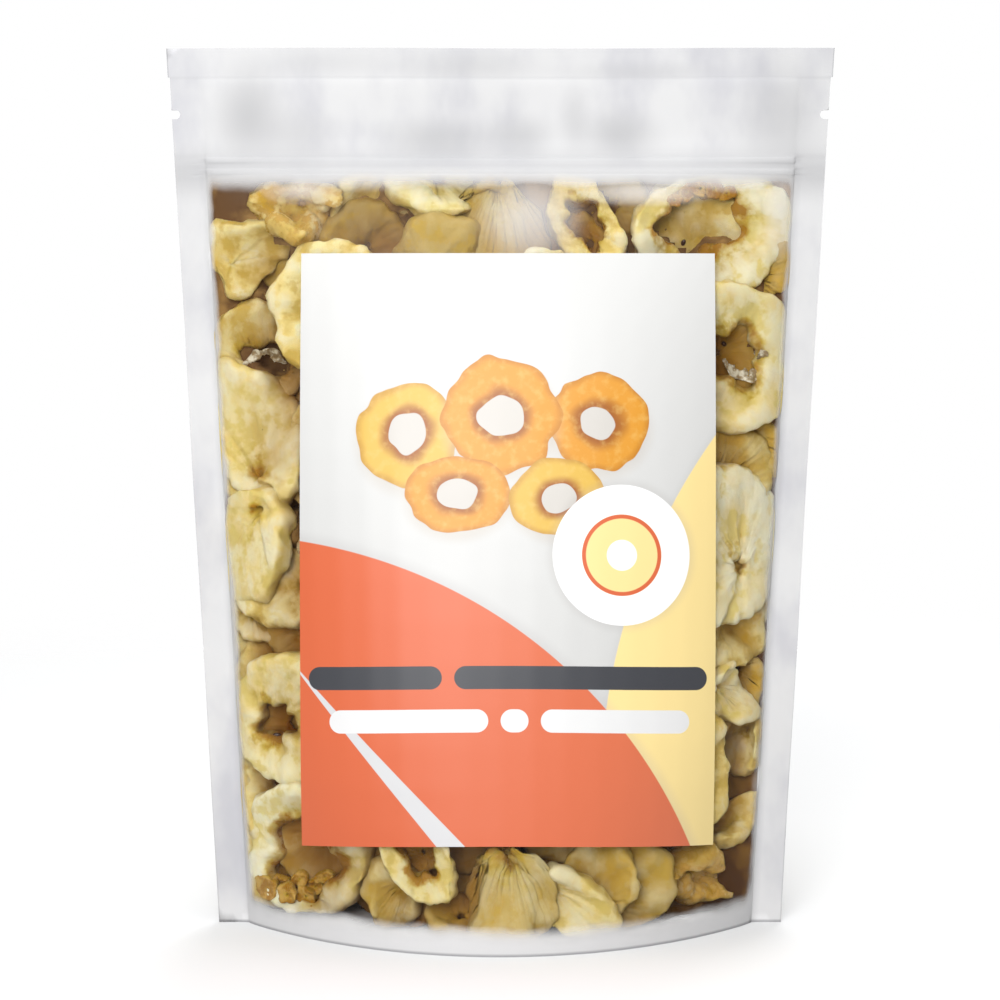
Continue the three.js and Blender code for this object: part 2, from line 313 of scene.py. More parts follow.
# %% Those down the left side
SHOWN_LEFT = [
    ("left_hollow", 246, 358, 10, -4, 0, 10,
     dict(radius=18, hole=8, hole_at=(1, -5), thick=11, ridges=0.45, tone=0.5, gold=0.1, sugar=0.2)),
    ("left_slice", 238, 458, 1, -4, 0, -37,
     dict(radius=26.5, squash=0.66, hole=0.4, hole_at=(15, -8), thick=10, saddle=3, wave=2, ridges=0.06,
          tone=1.05, gold=0.45, sugar=1.0)),
    ("left_lobe", 252, 530, 1, -4, -4, -15,
     dict(radius=16, squash=1.2, hole=0.4, hole_at=(1, 11), cup=0, saddle=1, thick=10, ridges=0.06,
          tone=1.05, gold=0.45, sugar=0.8)),
    ("left_lobe_low", 278, 590, 10, 0, 0, 0,
     dict(radius=15.5, hole=0.4, hole_at=(9, 0), thick=8, ridges=0.05, tone=0.8, gold=0.15, sugar=0.1)),
    ("left_wedge", 236, 614, 4, -10, 0, -50,
     dict(radius=12, squash=0.7, hole=1.2, thick=8, tone=0.8, gold=0.2)),
    ("left_brown", 290, 640, 15, 0, 0, 0, dict(radius=14, hole=2, thick=7, tone=0.3, gold=0.2)),
    ("left_ring_floor", 262, 730, 14, 0, 0, 0,
     dict(radius=13, hole=1.2, hole_at=(8, 0), thick=7, tone=0.0, gold=0.9)),
    ("left_ring", 276, 724, 3, -4, 0, 0,
     dict(radius=23, hole=6.5, hole_at=(-6, -2), thick=12, saddle=1, tone=1.05, gold=0.35, sugar=0.6)),
    ("low_left_ring", 300, 860, 4, -4, 0, 10,
     dict(radius=24, hole=13, hole_at=(-3, -4), thick=11, saddle=1, tone=1.15, sugar=1.0)),
    ("low_left_inner", 302, 852, 14, 0, 0, 0, dict(radius=14, hole=1.2, hole_at=(6, 6), tone=0.45)),
]

# %% Those along the bottom
SHOWN_LOW = [
    ("low_slit", 414, 858, 3, 0, 0, -60,
     dict(radius=20, squash=0.54, hole=9.5, thick=10, saddle=1, tone=1.0, sugar=1.0)),
    ("low_slit_floor", 412, 852, 11, 0, 0, -60,
     dict(radius=14, squash=0.6, hole=0.4, hole_at=(8, 0), thick=7, ridges=0.3, tone=0.1, gold=1.25)),
    ("low_flap", 393, 898, 8, 0, 0, 0,
     dict(radius=9.5, squash=1.4, hole=1.2, hole_at=(5, 4), fold=30, thick=7, ridges=0.2, tone=0.55,
          gold=0.0)),
    ("low_mound", 458, 936, 9, 0, 10, 0,
     dict(radius=12, squash=0.75, hole=1.2, thick=8, tone=0.3, gold=0.6)),
    ("low_fan", 511, 892, 3, 0, 0, 0,
     dict(radius=15.5, squash=1.15, hole=1.2, hole_at=(0, 18), fold=-62, fold_width=7, ridges=0.6,
          tone=0.42, gold=0.2)),
    ("low_tongue", 568, 900, 2, 0, -6, -35,
     dict(radius=17, squash=0.60, hole=0.4, hole_at=(-9, 0), thick=10, ridges=0.05, tone=1.0, gold=0.3)),
    ("low_disc_front", 604, 900, 5, 0, 0, 0,
     dict(radius=13.5, squash=1.15, hole=1.2, hole_at=(0, -7), thick=8, tone=0.45, gold=0.5)),
    ("low_disc", 634, 902, 8, 0, 0, 0,
     dict(radius=15, squash=1.15, hole=1.2, hole_at=(-6, -6), thick=9, tone=0.4, gold=0.6)),
    ("low_back_disc", 565, 822, 11, 0, 0, 0, dict(radius=17, hole=2, thick=8, tone=0.5)),
    ("low_crumple", 702, 876, 3, 4, 0, 70,
     dict(radius=12.5, corners=0.16, hole=0.4, hole_at=(3, 2), fold=30, fold_width=5, wave=3, thick=11,
          ridges=0.08, tone=0.8, gold=1.3, sugar=1.0)),
]

# %% Those down the right side
SHOWN_RIGHT = [
    ("right_ring", 746, 352, 3, -2, 0, 70,
     dict(radius=25, hole=8.5, hole_at=(1, -2), thick=12, saddle=1, tone=1.1, gold=0.25, sugar=0.6)),
    ("right_ring_floor", 745, 352, 13, 0, 0, 0,
     dict(radius=14, hole=1.2, hole_at=(-8, 0), thick=7, tone=0.0, gold=0.9)),
    ("right_gold", 768, 446, 7, 6, 0, 0,
     dict(radius=12, hole=1.2, hole_at=(-8, 5), thick=9, wave=2, ridges=0.4, tone=0.35, gold=0.7)),
    ("right_tan", 738, 482, 10, 0, 10, 0,
     dict(radius=15, hole=1.2, hole_at=(-8, -8), thick=8, ridges=0.5, tone=0.5)),
    ("right_slice", 744, 556, 2, 0, 0, 0,
     dict(radius=27, hole=2.4, hole_at=(7, -8), thick=9, saddle=1, tone=1.8, sugar=0.1)),
    ("right_low_slice", 737, 612, 6, 0, -6, 0,
     dict(radius=20, hole=1.2, hole_at=(-6, 0), thick=8, tone=0.85, gold=0.9)),
    ("right_fold", 728, 694, 3, 10, 0, -32,
     dict(radius=12.5, squash=0.7, corners=0.15, hole=1.2, hole_at=(-8, 0), thick=8, tone=1.1, sugar=0.2)),
    ("right_shade", 752, 680, 8, 10, 0, 0,
     dict(radius=13, hole=1.2, hole_at=(0, 6), thick=9, fold=30, ridges=0.4, tone=0.3, gold=0.9)),
    ("right_upright", 702, 768, 3, 0, 0, 90,
     dict(radius=21, squash=0.62, hole=1.2, thick=11, tone=0.85, gold=0.6)),
    ("right_chunk", 762, 734, 5, 6, 0, 90,
     dict(radius=13, squash=0.8, hole=0.4, hole_at=(4, -3), ridges=0.05, thick=12, tone=0.9, gold=0.4)),
    ("right_wedge", 746, 829, 4, 8, 0, 35,
     dict(radius=13, squash=0.5, hole=0.4, thick=9, ridges=0.05, tone=0.65, gold=0.85)),
]
SHOWN = SHOWN_TOP + SHOWN_LEFT + SHOWN_LOW + SHOWN_RIGHT

# Where the photograph shows a dark gap between the rings (pixels)
GAPS = [(234, 200), (252, 281), (234, 358), (545, 204), (783, 262), (742, 458), (748, 785),
        (738, 885), (462, 885), (540, 906)]

print(len(SHOWN), "rings are placed by their pixel")

# %% Lay out the rings
# How far the other rings keep from the middle of a shown ring and of a dark gap
TAKEN_REACH = 33 * MM
GAP_REACH = 20 * MM
# How much a shown ring turns from the film toward the camera, and its share of a push
TOWARD_VIEWER = 1.0
SHOWN_HOLD = 0.05
# Shown rings from this depth on lie flatter, to come through those in front less
CALM_FROM = 7
CALM = dict(cup=0, saddle=0.8, wave=0.6)
# The lowest and highest place of the rings in the pouch
WINDOW_TOP = 258 * MM
WINDOW_BOTTOM = 4 * MM
# How the other rings are spread in rows, and how far each strays from its place
ROWS_PER_GAP = 0.8
FIRST_ROW = 14 * MM
BOTH_ENDS = 26 * MM
SIDE_MARGIN = 8 * MM
STRAY_ACROSS, STRAY_UP = 4, 5
KINDS = ["flat", "slice", "fold", "torn"]
KIND_SHARES = [0.5, 0.14, 0.26, 0.10]
# A piece bent more than this is a folded one, and a hole smaller than this makes it a slice
FOLDED_FROM = 20
SLICE_HOLE = 4


def tangent_frame(facing):
    """Right, up and facing directions of a ring that lies against the film."""
    facing = Vector(facing).normalized()
    right = Vector((0, 0, 1)).cross(facing).normalized()
    up = facing.cross(right)
    return np.array(Matrix((right, up, facing)).transposed())


def turned(base, lean_right, lean_up, spin):
    """A frame turned about its own up, right and facing directions, in degrees."""
    turn = Matrix.Rotation(lean_right * DEGREE, 3, "Y")
    turn = turn @ Matrix.Rotation(-lean_up * DEGREE, 3, "X")
    turn = turn @ Matrix.Rotation(spin * DEGREE, 3, "Z")
    return base @ np.array(turn)


def face_normal(side, x, z):
    """The film's outward direction at a place, from how the face falls away around it."""
    face = front_face if side < 0 else back_face
    step = 5 * MM
    x, z = np.array([x]), np.array([z])
    slope_x = (face_at(face, x + step, z) - face_at(face, x - step, z))[0] / (2 * step)
    slope_z = (face_at(face, x, z + step) - face_at(face, x, z - step))[0] / (2 * step)
    normal = Vector((-slope_x * side, side, -slope_z * side))
    return normal.normalized()


def piece(name, side, x, z, depth, lean_right, lean_up, spin, seed, held, shape):
    """One ring, ready to settle: its shape, where it starts and how firmly it is held."""
    rng = np.random.default_rng(seed)
    face = front_face if side < 0 else back_face
    facing = face_normal(side, x, z)
    if held < 1:
        facing = (facing + TOWARD_VIEWER * Vector((0, side, 0))).normalized()
    y = face_at(face, np.array([x]), np.array([z]))[0]
    spot = np.array((x, y, z)) - np.array(facing) * depth
    options = dict(shape)
    tone = options.pop("tone", rng.uniform(0.15, 1.0))
    gold = options.pop("gold", rng.uniform(0, 0.6) ** 1.5)
    sugar = options.pop("sugar", rng.uniform(0, 1))
    points, flesh, pleated, raised = ring_shape(rng, **options)
    turn = turned(tangent_frame(facing), lean_right, lean_up, spin)
    kind = "flat_rings"
    if "arc" in options:
        kind = "torn_rings"
    elif abs(options.get("fold", 0)) > FOLDED_FROM:
        kind = "folded_rings"
    elif options.get("hole", 9) < SLICE_HOLE:
        kind = "slices"
    where = "shown" if held < 1 else "front" if side < 0 else "back"
    return dict(name=name, points=points, flesh=flesh, pleated=pleated, raised=raised, turn=turn,
                spot=spot, held=held, where=where, look=(tone, gold, sugar), kind=kind,
                closed="arc" not in options)


def shown_pieces():
    """The rings that are placed by their pixel, each pressed in by its depth and half its thickness."""
    made = []
    for number, (name, px, py, depth, lean_right, lean_up, spin, shape) in enumerate(SHOWN):
        hit = front_at_pixel(px, py)
        shape = {**(CALM if depth >= CALM_FROM else {}), **shape, "fine": True}
        made.append(piece(name, -1, hit.x, hit.z, depth * MM + shape.get("thick", 9) / 2 * MM,
                          lean_right, lean_up, spin, 100 + number, SHOWN_HOLD, shape))
    return made


def layer(side, depth, gap, seed, lean, least_room, clear_of):
    """Rings in staggered rows behind one face, skipping places that are thin or taken."""
    rng = np.random.default_rng(seed)
    made = []
    rows = int((WINDOW_TOP - WINDOW_BOTTOM) / (gap * ROWS_PER_GAP))
    for row in range(rows):
        z = WINDOW_BOTTOM + FIRST_ROW + row * (WINDOW_TOP - WINDOW_BOTTOM - BOTH_ENDS) / (rows - 1)
        half = half_width(z) - SIDE_SEAL - SIDE_MARGIN
        count = int(2 * half / gap) + 1 + row % 2
        for place in range(count):
            x = -half + 2 * half * place / (count - 1) + rng.uniform(-STRAY_ACROSS, STRAY_ACROSS) * MM
            here_z = z + rng.uniform(-STRAY_UP, STRAY_UP) * MM
            kind = rng.choice(KINDS, p=KIND_SHARES)
            shape = dict(radius=rng.uniform(20, 26), hole=rng.uniform(6.5, 10), thick=rng.uniform(7, 11),
                         saddle=rng.uniform(1, 5), cup=rng.uniform(-2, 3), wave=rng.uniform(0.5, 3))
            if kind == "slice":
                shape["hole"] = rng.uniform(1.5, 3)
            if kind == "fold":
                shape.update(fold=rng.uniform(35, 65) * rng.choice([-1, 1]), radius=rng.uniform(19, 23))
            if kind == "torn":
                shape["arc"] = rng.uniform(130, 230)
            leans, spin = rng.normal(size=2) * lean, rng.uniform(0, 360)
            if any(math.hypot(x - a, here_z - b) < clear for a, b, clear in clear_of):
                continue
            room = (face_at(back_face, np.array([x]), np.array([here_z]))
                    - face_at(front_face, np.array([x]), np.array([here_z])))[0]
            if room < least_room:
                continue
            made.append(piece("filler", side, x, here_z, depth, *leans, spin,
                              seed * 1000 + row * 40 + place, 1.0, shape))
    return made


heap = shown_pieces()
taken = [(p["spot"][0], p["spot"][2], TAKEN_REACH) for p in heap]
gap_places = [front_at_pixel(px, py) for px, py in GAPS]
gaps = [(place.x, place.z, GAP_REACH) for place in gap_places]
# side, depth and gap (mm), seed, how much the rings lean, least room (mm), places kept clear
LAYERS = [
    (-1, 7, 41, 11, 10, 12, taken),
    (-1, 16, 34, 12, 12, 18, gaps),
    (-1, 26, 37, 15, 16, 50, ()),
    (1, 6, 38, 13, 10, 31, ()),
    (1, 17, 37, 14, 16, 46, ()),
]
for side, depth, gap, seed, lean, least_room, clear_of in LAYERS:
    heap += layer(side, depth * MM, gap * MM, seed, lean, least_room * MM, clear_of)
print("the heap has", len(heap), "pieces")

# %% [markdown]
# Rings that were only dropped at these places would run through each other. To settle them,
# each is stood for by a few dozen small balls on its flesh. Again and again, balls that
# overlap push each other apart, balls outside the film come back in, and each ring then
# takes the one turn and place that fits its balls best, so that it keeps its shape. Rings
# that were placed by their pixel push the others back, and each other only in depth.
# This lessens the overlaps and doesn't end them. The balls are thinner than the flesh and
# the pouch is crowded, so rings still run into each other by a few millimetres where they
# meet. The cell prints the deepest overlap of two balls that is left.

# %% Settle the heap
BALL = 3.0 * MM
# How far out from a section's middle the balls near the rim and the hole lie
BALL_REACH = 0.62
BALLS_AROUND = 12
SETTLE_ROUNDS = 70
FILM_ROOM = 0.6 * MM
OVERREACH = 3.5 * MM
HOLD_PULL = 0.04
BEHIND = 100 * MM


def balls_of(points):
    """Small balls spread over a ring's flesh: at the middle, near the rim and near the hole."""
    picked = points[np.linspace(0, len(points) - 1, BALLS_AROUND).astype(int)]
    middle = picked.mean(1)
    rim, hole = picked[:, 0], picked[:, picked.shape[1] // 2]
    near_rim = middle + BALL_REACH * (rim - middle)
    near_hole = middle + BALL_REACH * (hole - middle)
    return np.concatenate([middle, near_rim, near_hole])


def kept_inside(points, room):
    """Points moved back inside the film by their own size."""
    x, y, z = points[..., 0], points[..., 1], points[..., 2]
    z = np.clip(z, WINDOW_BOTTOM - OVERREACH + room, WINDOW_TOP + OVERREACH - room)
    side = half_width(z) - SIDE_SEAL + OVERREACH - room
    x = np.clip(x, -side, side)
    near = face_at(front_face, x, z) + room
    far = face_at(back_face, x, z) - room
    middle = (near + far) / 2
    near, far = np.minimum(near, middle), np.maximum(far, middle)
    return np.stack([x, np.clip(y, near, far), z], -1)


def settle(heap, rounds):
    """Turns and places of all rings after their balls have pushed each other apart."""
    local = np.array([balls_of(p["points"]) for p in heap])
    local -= local.mean(1, keepdims=True)
    turn = np.array([p["turn"] for p in heap])
    start = np.einsum("nij,nkj->nki", turn, local)
    start += np.array([p["spot"] for p in heap])[:, None]
    held = np.array([p["held"] for p in heap])
    place_in_depth = start[:, :, 1].mean(1) + np.where(held < 1, 0, BEHIND)
    balls = start.copy()
    reach = np.linalg.norm(local, axis=-1).max(1)
    for _ in range(rounds):
        centre = balls.mean(1)
        apart = np.linalg.norm(centre[:, None] - centre[None], axis=-1)
        first, second = np.nonzero(np.triu(apart < reach[:, None] + reach[None] + 2 * BALL, 1))
        gap = balls[first][:, :, None] - balls[second][:, None]
        distance = np.maximum(np.linalg.norm(gap, axis=-1), 1e-6)
        overlap = np.clip(2 * BALL - distance, 0, None)
        push = gap * (overlap / distance)[..., None]
        any_shown = (held[first] < 1) | (held[second] < 1)
        nearer = np.sign(place_in_depth[first] - place_in_depth[second])
        push[any_shown, ..., 0] = 0
        push[any_shown, ..., 2] = 0
        push[any_shown, ..., 1] = (overlap * nearer[:, None, None])[any_shown]
        touching = overlap > 0
        weight = held[first] / (held[first] + held[second])
        move = np.zeros_like(balls)
        count = np.zeros(balls.shape[:2])
        np.add.at(move, first, push.sum(2) * weight[:, None, None])
        np.add.at(move, second, -push.sum(1) * (1 - weight)[:, None, None])
        np.add.at(count, first, touching.sum(2))
        np.add.at(count, second, touching.sum(1))
        balls += move / np.maximum(count, 1)[..., None]
        balls += (start - balls) * (HOLD_PULL * (1 - held))[:, None, None]
        balls = kept_inside(balls, BALL + FILM_ROOM)
        centre = balls.mean(1)
        cross = np.einsum("nki,nkj->nij", balls - centre[:, None], local)
        u, _, vt = np.linalg.svd(cross)
        u[:, :, 2] *= np.sign(np.linalg.det(u @ vt))[:, None]
        turn = u @ vt
        balls = np.einsum("nij,nkj->nki", turn, local) + centre[:, None]
    left = np.where(overlap > 0, overlap, 0).max() / MM
    print("after settling, the deepest overlap of two balls is", round(float(left), 2), "mm")
    return turn, centre


offsets = [balls_of(p["points"]).mean(0) for p in heap]
turns, centres = settle(heap, SETTLE_ROUNDS)

# %% [markdown]
# The film presses on the pieces next to it. A hard stop at the film would leave two rings
# that overlap there in one and the same surface, so the stop is soft: the nearer a point
# comes to the film, the more it is squeezed, and what lay in front stays in front.

# %% Press the rings against the film
SOFT_STOP = 2.4 * MM
SOFT_SIDE = 1.4 * MM
# Where the pouch is thin: the stop's share of the room, and the least room there is
SOFT_SHARE = 0.35
LEAST_ROOM = 0.4 * MM
# Where the rings end at the sides, in from the edge of the seal
SIDE_REACH = 10.2 * MM
GUSSET_MIDDLE = 4.6 * MM
GUSSET_DROP = 2.4 * MM
GUSSET_HALF = 40 * MM


def gusset_top(y):
    """How high the pouch's shallow hollow underside comes, a little lower toward both faces."""
    return GUSSET_MIDDLE - GUSSET_DROP * (y / GUSSET_HALF) ** 2


def squeezed(distance, soft):
    """A distance from a wall that is never below zero and keeps its order."""
    return (distance + np.hypot(distance, soft)) / 2


def pressed(points):
    """Points squeezed in between the gusset, the top, the side seals and both faces of the film."""
    x, y, z = points[..., 0], points[..., 1], points[..., 2]
    z = gusset_top(y) + squeezed(z - gusset_top(y), SOFT_STOP)
    z = WINDOW_TOP - squeezed(WINDOW_TOP - z, SOFT_STOP)
    side = half_width(z) - SIDE_REACH
    x = -side + squeezed(x + side, SOFT_SIDE)
    x = side - squeezed(side - x, SOFT_SIDE)
    near = face_at(front_face, x, z) + FILM_ROOM
    far = face_at(back_face, x, z) - FILM_ROOM
    room = np.maximum(far - near, LEAST_ROOM)
    soft = np.minimum(SOFT_STOP, SOFT_SHARE * room)
    y = near + squeezed(y - near, soft)
    y = near + room - squeezed(near + room - y, soft)
    return np.stack([x, y, z], -1)


for p, turn, centre, offset in zip(heap, turns, centres, offsets):
    p["world"] = pressed((p["points"] - offset) @ turn.T + centre)
    x, y, z = (p["world"][..., axis] for axis in range(3))
    p["deep"] = np.minimum(y - face_at(front_face, x, z), face_at(back_face, x, z) - y) / MM

# %% [markdown]
# A few large meshes are easier to handle than dozens of small ones, so each kind of ring
# becomes one mesh. What the colours follow goes along as attributes: values that the mesh
# carries at each of its points, and that a material can read.

# %% Join the rings into one mesh for each kind


def joined(name, pieces):
    """One mesh object from many grids of points, with what the flesh's colours follow."""
    points, flesh, looks, deep, pleated, raised, loops, starts = [], [], [], [], [], [], [], []
    first, corner = 0, 0
    for p in pieces:
        around, section = p["world"].shape[:2]
        index = first + np.arange(around * section).reshape(around, section)
        if p["closed"]:
            ahead, here = np.roll(index, -1, 0), index
        else:
            ahead, here = index[1:], index[:-1]
        quads = np.stack([here, ahead, np.roll(ahead, -1, 1), np.roll(here, -1, 1)], -1).reshape(-1, 4)
        loops.append(quads.ravel())
        starts.append(corner + 4 * np.arange(len(quads)))
        corner += quads.size
        if not p["closed"]:
            for cap in (index[0], index[-1][::-1]):
                loops.append(cap)
                starts.append(np.array([corner]))
                corner += section
        points.append(p["world"].reshape(-1, 3))
        flesh.append(p["flesh"].reshape(-1, 3))
        looks.append(np.tile(p["look"], (around * section, 1)))
        deep.append(p["deep"].ravel())
        pleated.append(p["pleated"].ravel())
        raised.append(p["raised"].ravel())
        first += around * section
    loops, starts = np.concatenate(loops), np.concatenate(starts)
    mesh = bpy.data.meshes.new(name)
    mesh.vertices.add(first)
    mesh.vertices.foreach_set("co", np.concatenate(points).ravel())
    mesh.loops.add(len(loops))
    mesh.loops.foreach_set("vertex_index", loops)
    mesh.polygons.add(len(starts))
    mesh.polygons.foreach_set("loop_start", starts)
    mesh.update(calc_edges=True)
    mesh.polygons.foreach_set("use_smooth", np.ones(len(starts), bool))
    for label, values in (("flesh", flesh), ("look", looks)):
        kept = mesh.attributes.new(label, "FLOAT_VECTOR", "POINT")
        kept.data.foreach_set("vector", np.concatenate(values).ravel())
    for label, values in (("deep", deep), ("pleated", pleated), ("raised", raised)):
        kept = mesh.attributes.new(label, "FLOAT", "POINT")
        kept.data.foreach_set("value", np.concatenate(values))
    made = bpy.data.objects.new(name, mesh)
    bpy.context.scene.collection.objects.link(made)
    triangles = sum(len(p.vertices) - 2 for p in mesh.polygons)
    print(name, "has", len(pieces), "pieces and", triangles, "triangles")
    return made


ring_pieces = []
for kind in ("flat_rings", "slices", "folded_rings", "torn_rings"):
    for where in ("shown", "front", "back"):
        of_kind = [p for p in heap if p["kind"] == kind and p["where"] == where]
        if of_kind:
            ring_pieces.append(joined(f"{where}_{kind}", of_kind))

# %% [markdown]
# Small things lie on the flesh in some holes: papery linings of the seed pockets, dark seeds,
# and lumps of amber sugar. The photograph shows where, so each is laid on what the camera
# sees there.

# %% Linings, sugar lumps and seeds
# name, place (pixel), spin and arc of the lining, and its share of a ring's size
LININGS = [
    ("left_lining", 262, 358, 20, 150, 0.40),
    ("right_ring_lining", 742, 366, 200, 170, 0.42),
    ("right_ring_lining_low", 756, 368, 250, 150, 0.36),
]
LINING_SHAPE = dict(radius=20, hole=13, thick=2.4, wave=5, cup=4, lobed=2.5, ridges=0.8)
LINING_OUT = 0.6 * MM
# place (pixel), spin and share of a ring's size
SUGAR_LUMPS = [(264, 884, 0, 0.20), (268, 889, 70, 0.24), (280, 882, 20, 0.20), (288, 893, 110, 0.22),
               (298, 886, 40, 0.18), (307, 895, 140, 0.22), (316, 885, 60, 0.20), (326, 876, 10, 0.18),
               (674, 200, 10, 0.16), (686, 192, 60, 0.20), (700, 188, 0, 0.20), (713, 188, 80, 0.20),
               (726, 193, 30, 0.18)]
LUMP_SHAPE = dict(radius=18, squash=0.8, hole=0.8, thick=22, wave=4, lobed=1.6)
LUMP_LOOK = dict(tone=0.3, gold=2.0, sugar=1.0)
LUMP_OUT = 1.0 * MM
# How a lining or a lump leans, and how deep behind the film it goes where no flesh shows
LAID_LEAN = (12, -8)
UNSEEN_DEPTH = 12 * MM
SEEDS = [(277, 735), (724, 344), (683, 243)]
SEED_SIZE = (1.5 * MM, 0.8 * MM, 0.8 * MM)
SEED_TURN = (0.3, 0.4, 1.1)
shown_skins = [BVHTree.FromObject(made, bpy.context.evaluated_depsgraph_get())
               for made in ring_pieces if made.name.startswith("shown")]


def seen_at_pixel(px, py):
    """The nearest flesh that the camera sees through a pixel."""
    target = front_at_pixel(px, py)
    along = (target - camera.location).normalized()
    hits = [skin.ray_cast(camera.location, along) for skin in shown_skins]
    hits = [(hit[3], hit[0]) for hit in hits if hit[0] is not None]
    return min(hits)[1] if hits else target + Vector((0, UNSEEN_DEPTH, 0))


def laid_on(name, px, py, spin, seed, out, shape):
    """A small piece laid on the flesh that shows at a pixel, standing out from it."""
    place = seen_at_pixel(px, py)
    p = piece(name, -1, place.x, place.z, 0, *LAID_LEAN, spin, seed, SHOWN_HOLD, shape)
    p["world"] = pressed(p["points"] @ p["turn"].T + np.array(place) - np.array((0, out, 0)))
    p["deep"] = np.zeros(p["world"].shape[:2])
    return p


def linings():
    """Thin torn rings: what is left of the seed pockets' walls."""
    return [laid_on(name, px, py, spin, 400 + number, LINING_OUT, dict(LINING_SHAPE, arc=arc, scale=scale))
            for number, (name, px, py, spin, arc, scale) in enumerate(LININGS)]


def sugar_lumps():
    """Thick, lobed little slices in the colour of honey."""
    shape = dict(LUMP_SHAPE, **LUMP_LOOK)
    return [laid_on("lump", px, py, spin, 500 + number, LUMP_OUT, dict(shape, scale=scale))
            for number, (px, py, spin, scale) in enumerate(SUGAR_LUMPS)]


def as_one(objects, name):
    """Joins objects into the first of them, which gets a new name and stays selected."""
    bpy.ops.object.select_all(action="DESELECT")
    for one in objects:
        one.select_set(True)
    bpy.context.view_layer.objects.active = objects[0]
    bpy.ops.object.join()
    bpy.context.object.name = name
    return bpy.context.object


def seeds():
    """Small dark ellipsoids on the flesh, joined into one piece."""
    made = []
    for number, (px, py) in enumerate(SEEDS):
        tilt, roll, yaw = SEED_TURN
        bpy.ops.mesh.primitive_uv_sphere_add(
            segments=16,
            ring_count=10,
            radius=1,
            location=seen_at_pixel(px, py),
            rotation=(tilt, roll * number, yaw * number),
        )
        bpy.context.object.scale = SEED_SIZE
        made.append(bpy.context.object)
    one_piece = as_one(made, "seeds")
    bpy.ops.object.transform_apply(location=True, rotation=True, scale=True)
    bpy.ops.object.shade_smooth()
    return one_piece


lining_piece = joined("core_linings", linings())
ring_pieces.append(joined("sugar_lumps", sugar_lumps()))
seed_piece = seeds()

# %% [markdown]
# Materials. Most of the finishes here share one effect, soft uneven patches, so that is a
# node group. The helpers below keep the node trees short enough to read.

# %% Node helpers


def node(tree, kind, inputs=(), **settings):
    """Adds a node, sets its settings, and fills or links its inputs by name or number."""
    made = tree.nodes.new(kind)
    for name, value in settings.items():
        setattr(made, name, value)
    for key, value in dict(inputs).items():
        if isinstance(value, bpy.types.NodeSocket):
            tree.links.new(value, made.inputs[key])
        else:
            made.inputs[key].default_value = value
    return made


def calc(tree, operation, a, b=0.0, c=0.0):
    """One step of arithmetic on numbers or sockets."""
    return node(tree, "ShaderNodeMath", {0: a, 1: b, 2: c}, operation=operation).outputs[0]


def vector_calc(tree, operation, a, b=(0, 0, 0)):
    """One step of arithmetic on vectors. A length comes out as a number."""
    made = node(tree, "ShaderNodeVectorMath", {0: a, 1: b}, operation=operation)
    return made.outputs["Value" if operation == "LENGTH" else "Vector"]


def noise_at(tree, place, scale, detail):
    """Cloudy noise around 0.5: the larger the scale, the finer its patches."""
    inputs = {"Vector": place, "Scale": scale, "Detail": detail}
    return node(tree, "ShaderNodeTexNoise", inputs).outputs["Fac"]


def object_place(tree):
    """Each point's place on its own object, in metres."""
    return node(tree, "ShaderNodeTexCoord").outputs["Object"]


def parted(tree, vector):
    """The outputs X, Y and Z of a vector."""
    return node(tree, "ShaderNodeSeparateXYZ", {0: vector}).outputs


def carried(tree, name, output="Fac"):
    """What the mesh carries under a name at each of its points."""
    return node(tree, "ShaderNodeAttribute", attribute_name=name).outputs[output]


def ramp(tree, value, low, high, to_low=0.0, to_high=1.0):
    """A smooth step of a value between two limits."""
    made = node(tree, "ShaderNodeMapRange", {"Value": value, "From Min": low, "From Max": high,
                "To Min": to_low, "To Max": to_high}, interpolation_type="SMOOTHSTEP")
    return made.outputs["Result"]


def thin_lines(tree, noise, half):
    """Thin wandering lines, where a noise crosses its middle value."""
    return ramp(tree, calc(tree, "ABSOLUTE", calc(tree, "SUBTRACT", noise, 0.5)), half, 0.0)


def mixed(tree, share, a, b, blend="MIX"):
    """Two colours mixed by a share from 0 to 1."""
    made = node(tree, "ShaderNodeMix", data_type="RGBA", blend_type=blend)
    for socket, value in ((0, share), (6, a), (7, b)):
        if isinstance(value, bpy.types.NodeSocket):
            tree.links.new(value, made.inputs[socket])
        elif socket:
            made.inputs[socket].default_value = (*value, 1) if len(value) == 3 else value
        else:
            made.inputs[socket].default_value = value
    return made.outputs[2]


def group(name, inputs, outputs):
    """A new node group with named sockets: its tree, its input and its output node."""
    tree = bpy.data.node_groups.new(name, "ShaderNodeTree")
    for label, kind, value in inputs:
        socket = tree.interface.new_socket(label, in_out="INPUT", socket_type=kind)
        if value is not None:
            socket.default_value = value
    for label, kind in outputs:
        tree.interface.new_socket(label, in_out="OUTPUT", socket_type=kind)
    return tree, tree.nodes.new("NodeGroupInput"), tree.nodes.new("NodeGroupOutput")


def use(tree, group_tree, inputs, output=0):
    """Places a node group with its own values, and gives one of its outputs."""
    return node(tree, "ShaderNodeGroup", inputs, node_tree=group_tree).outputs[output]


def material(name):
    """A new material: itself, its node tree and its shader."""
    made = bpy.data.materials.new(name)
    made.use_nodes = True
    tree = made.node_tree
    return made, tree, tree.nodes["Principled BSDF"]


FLOAT, VECTOR = "NodeSocketFloat", "NodeSocketVector"

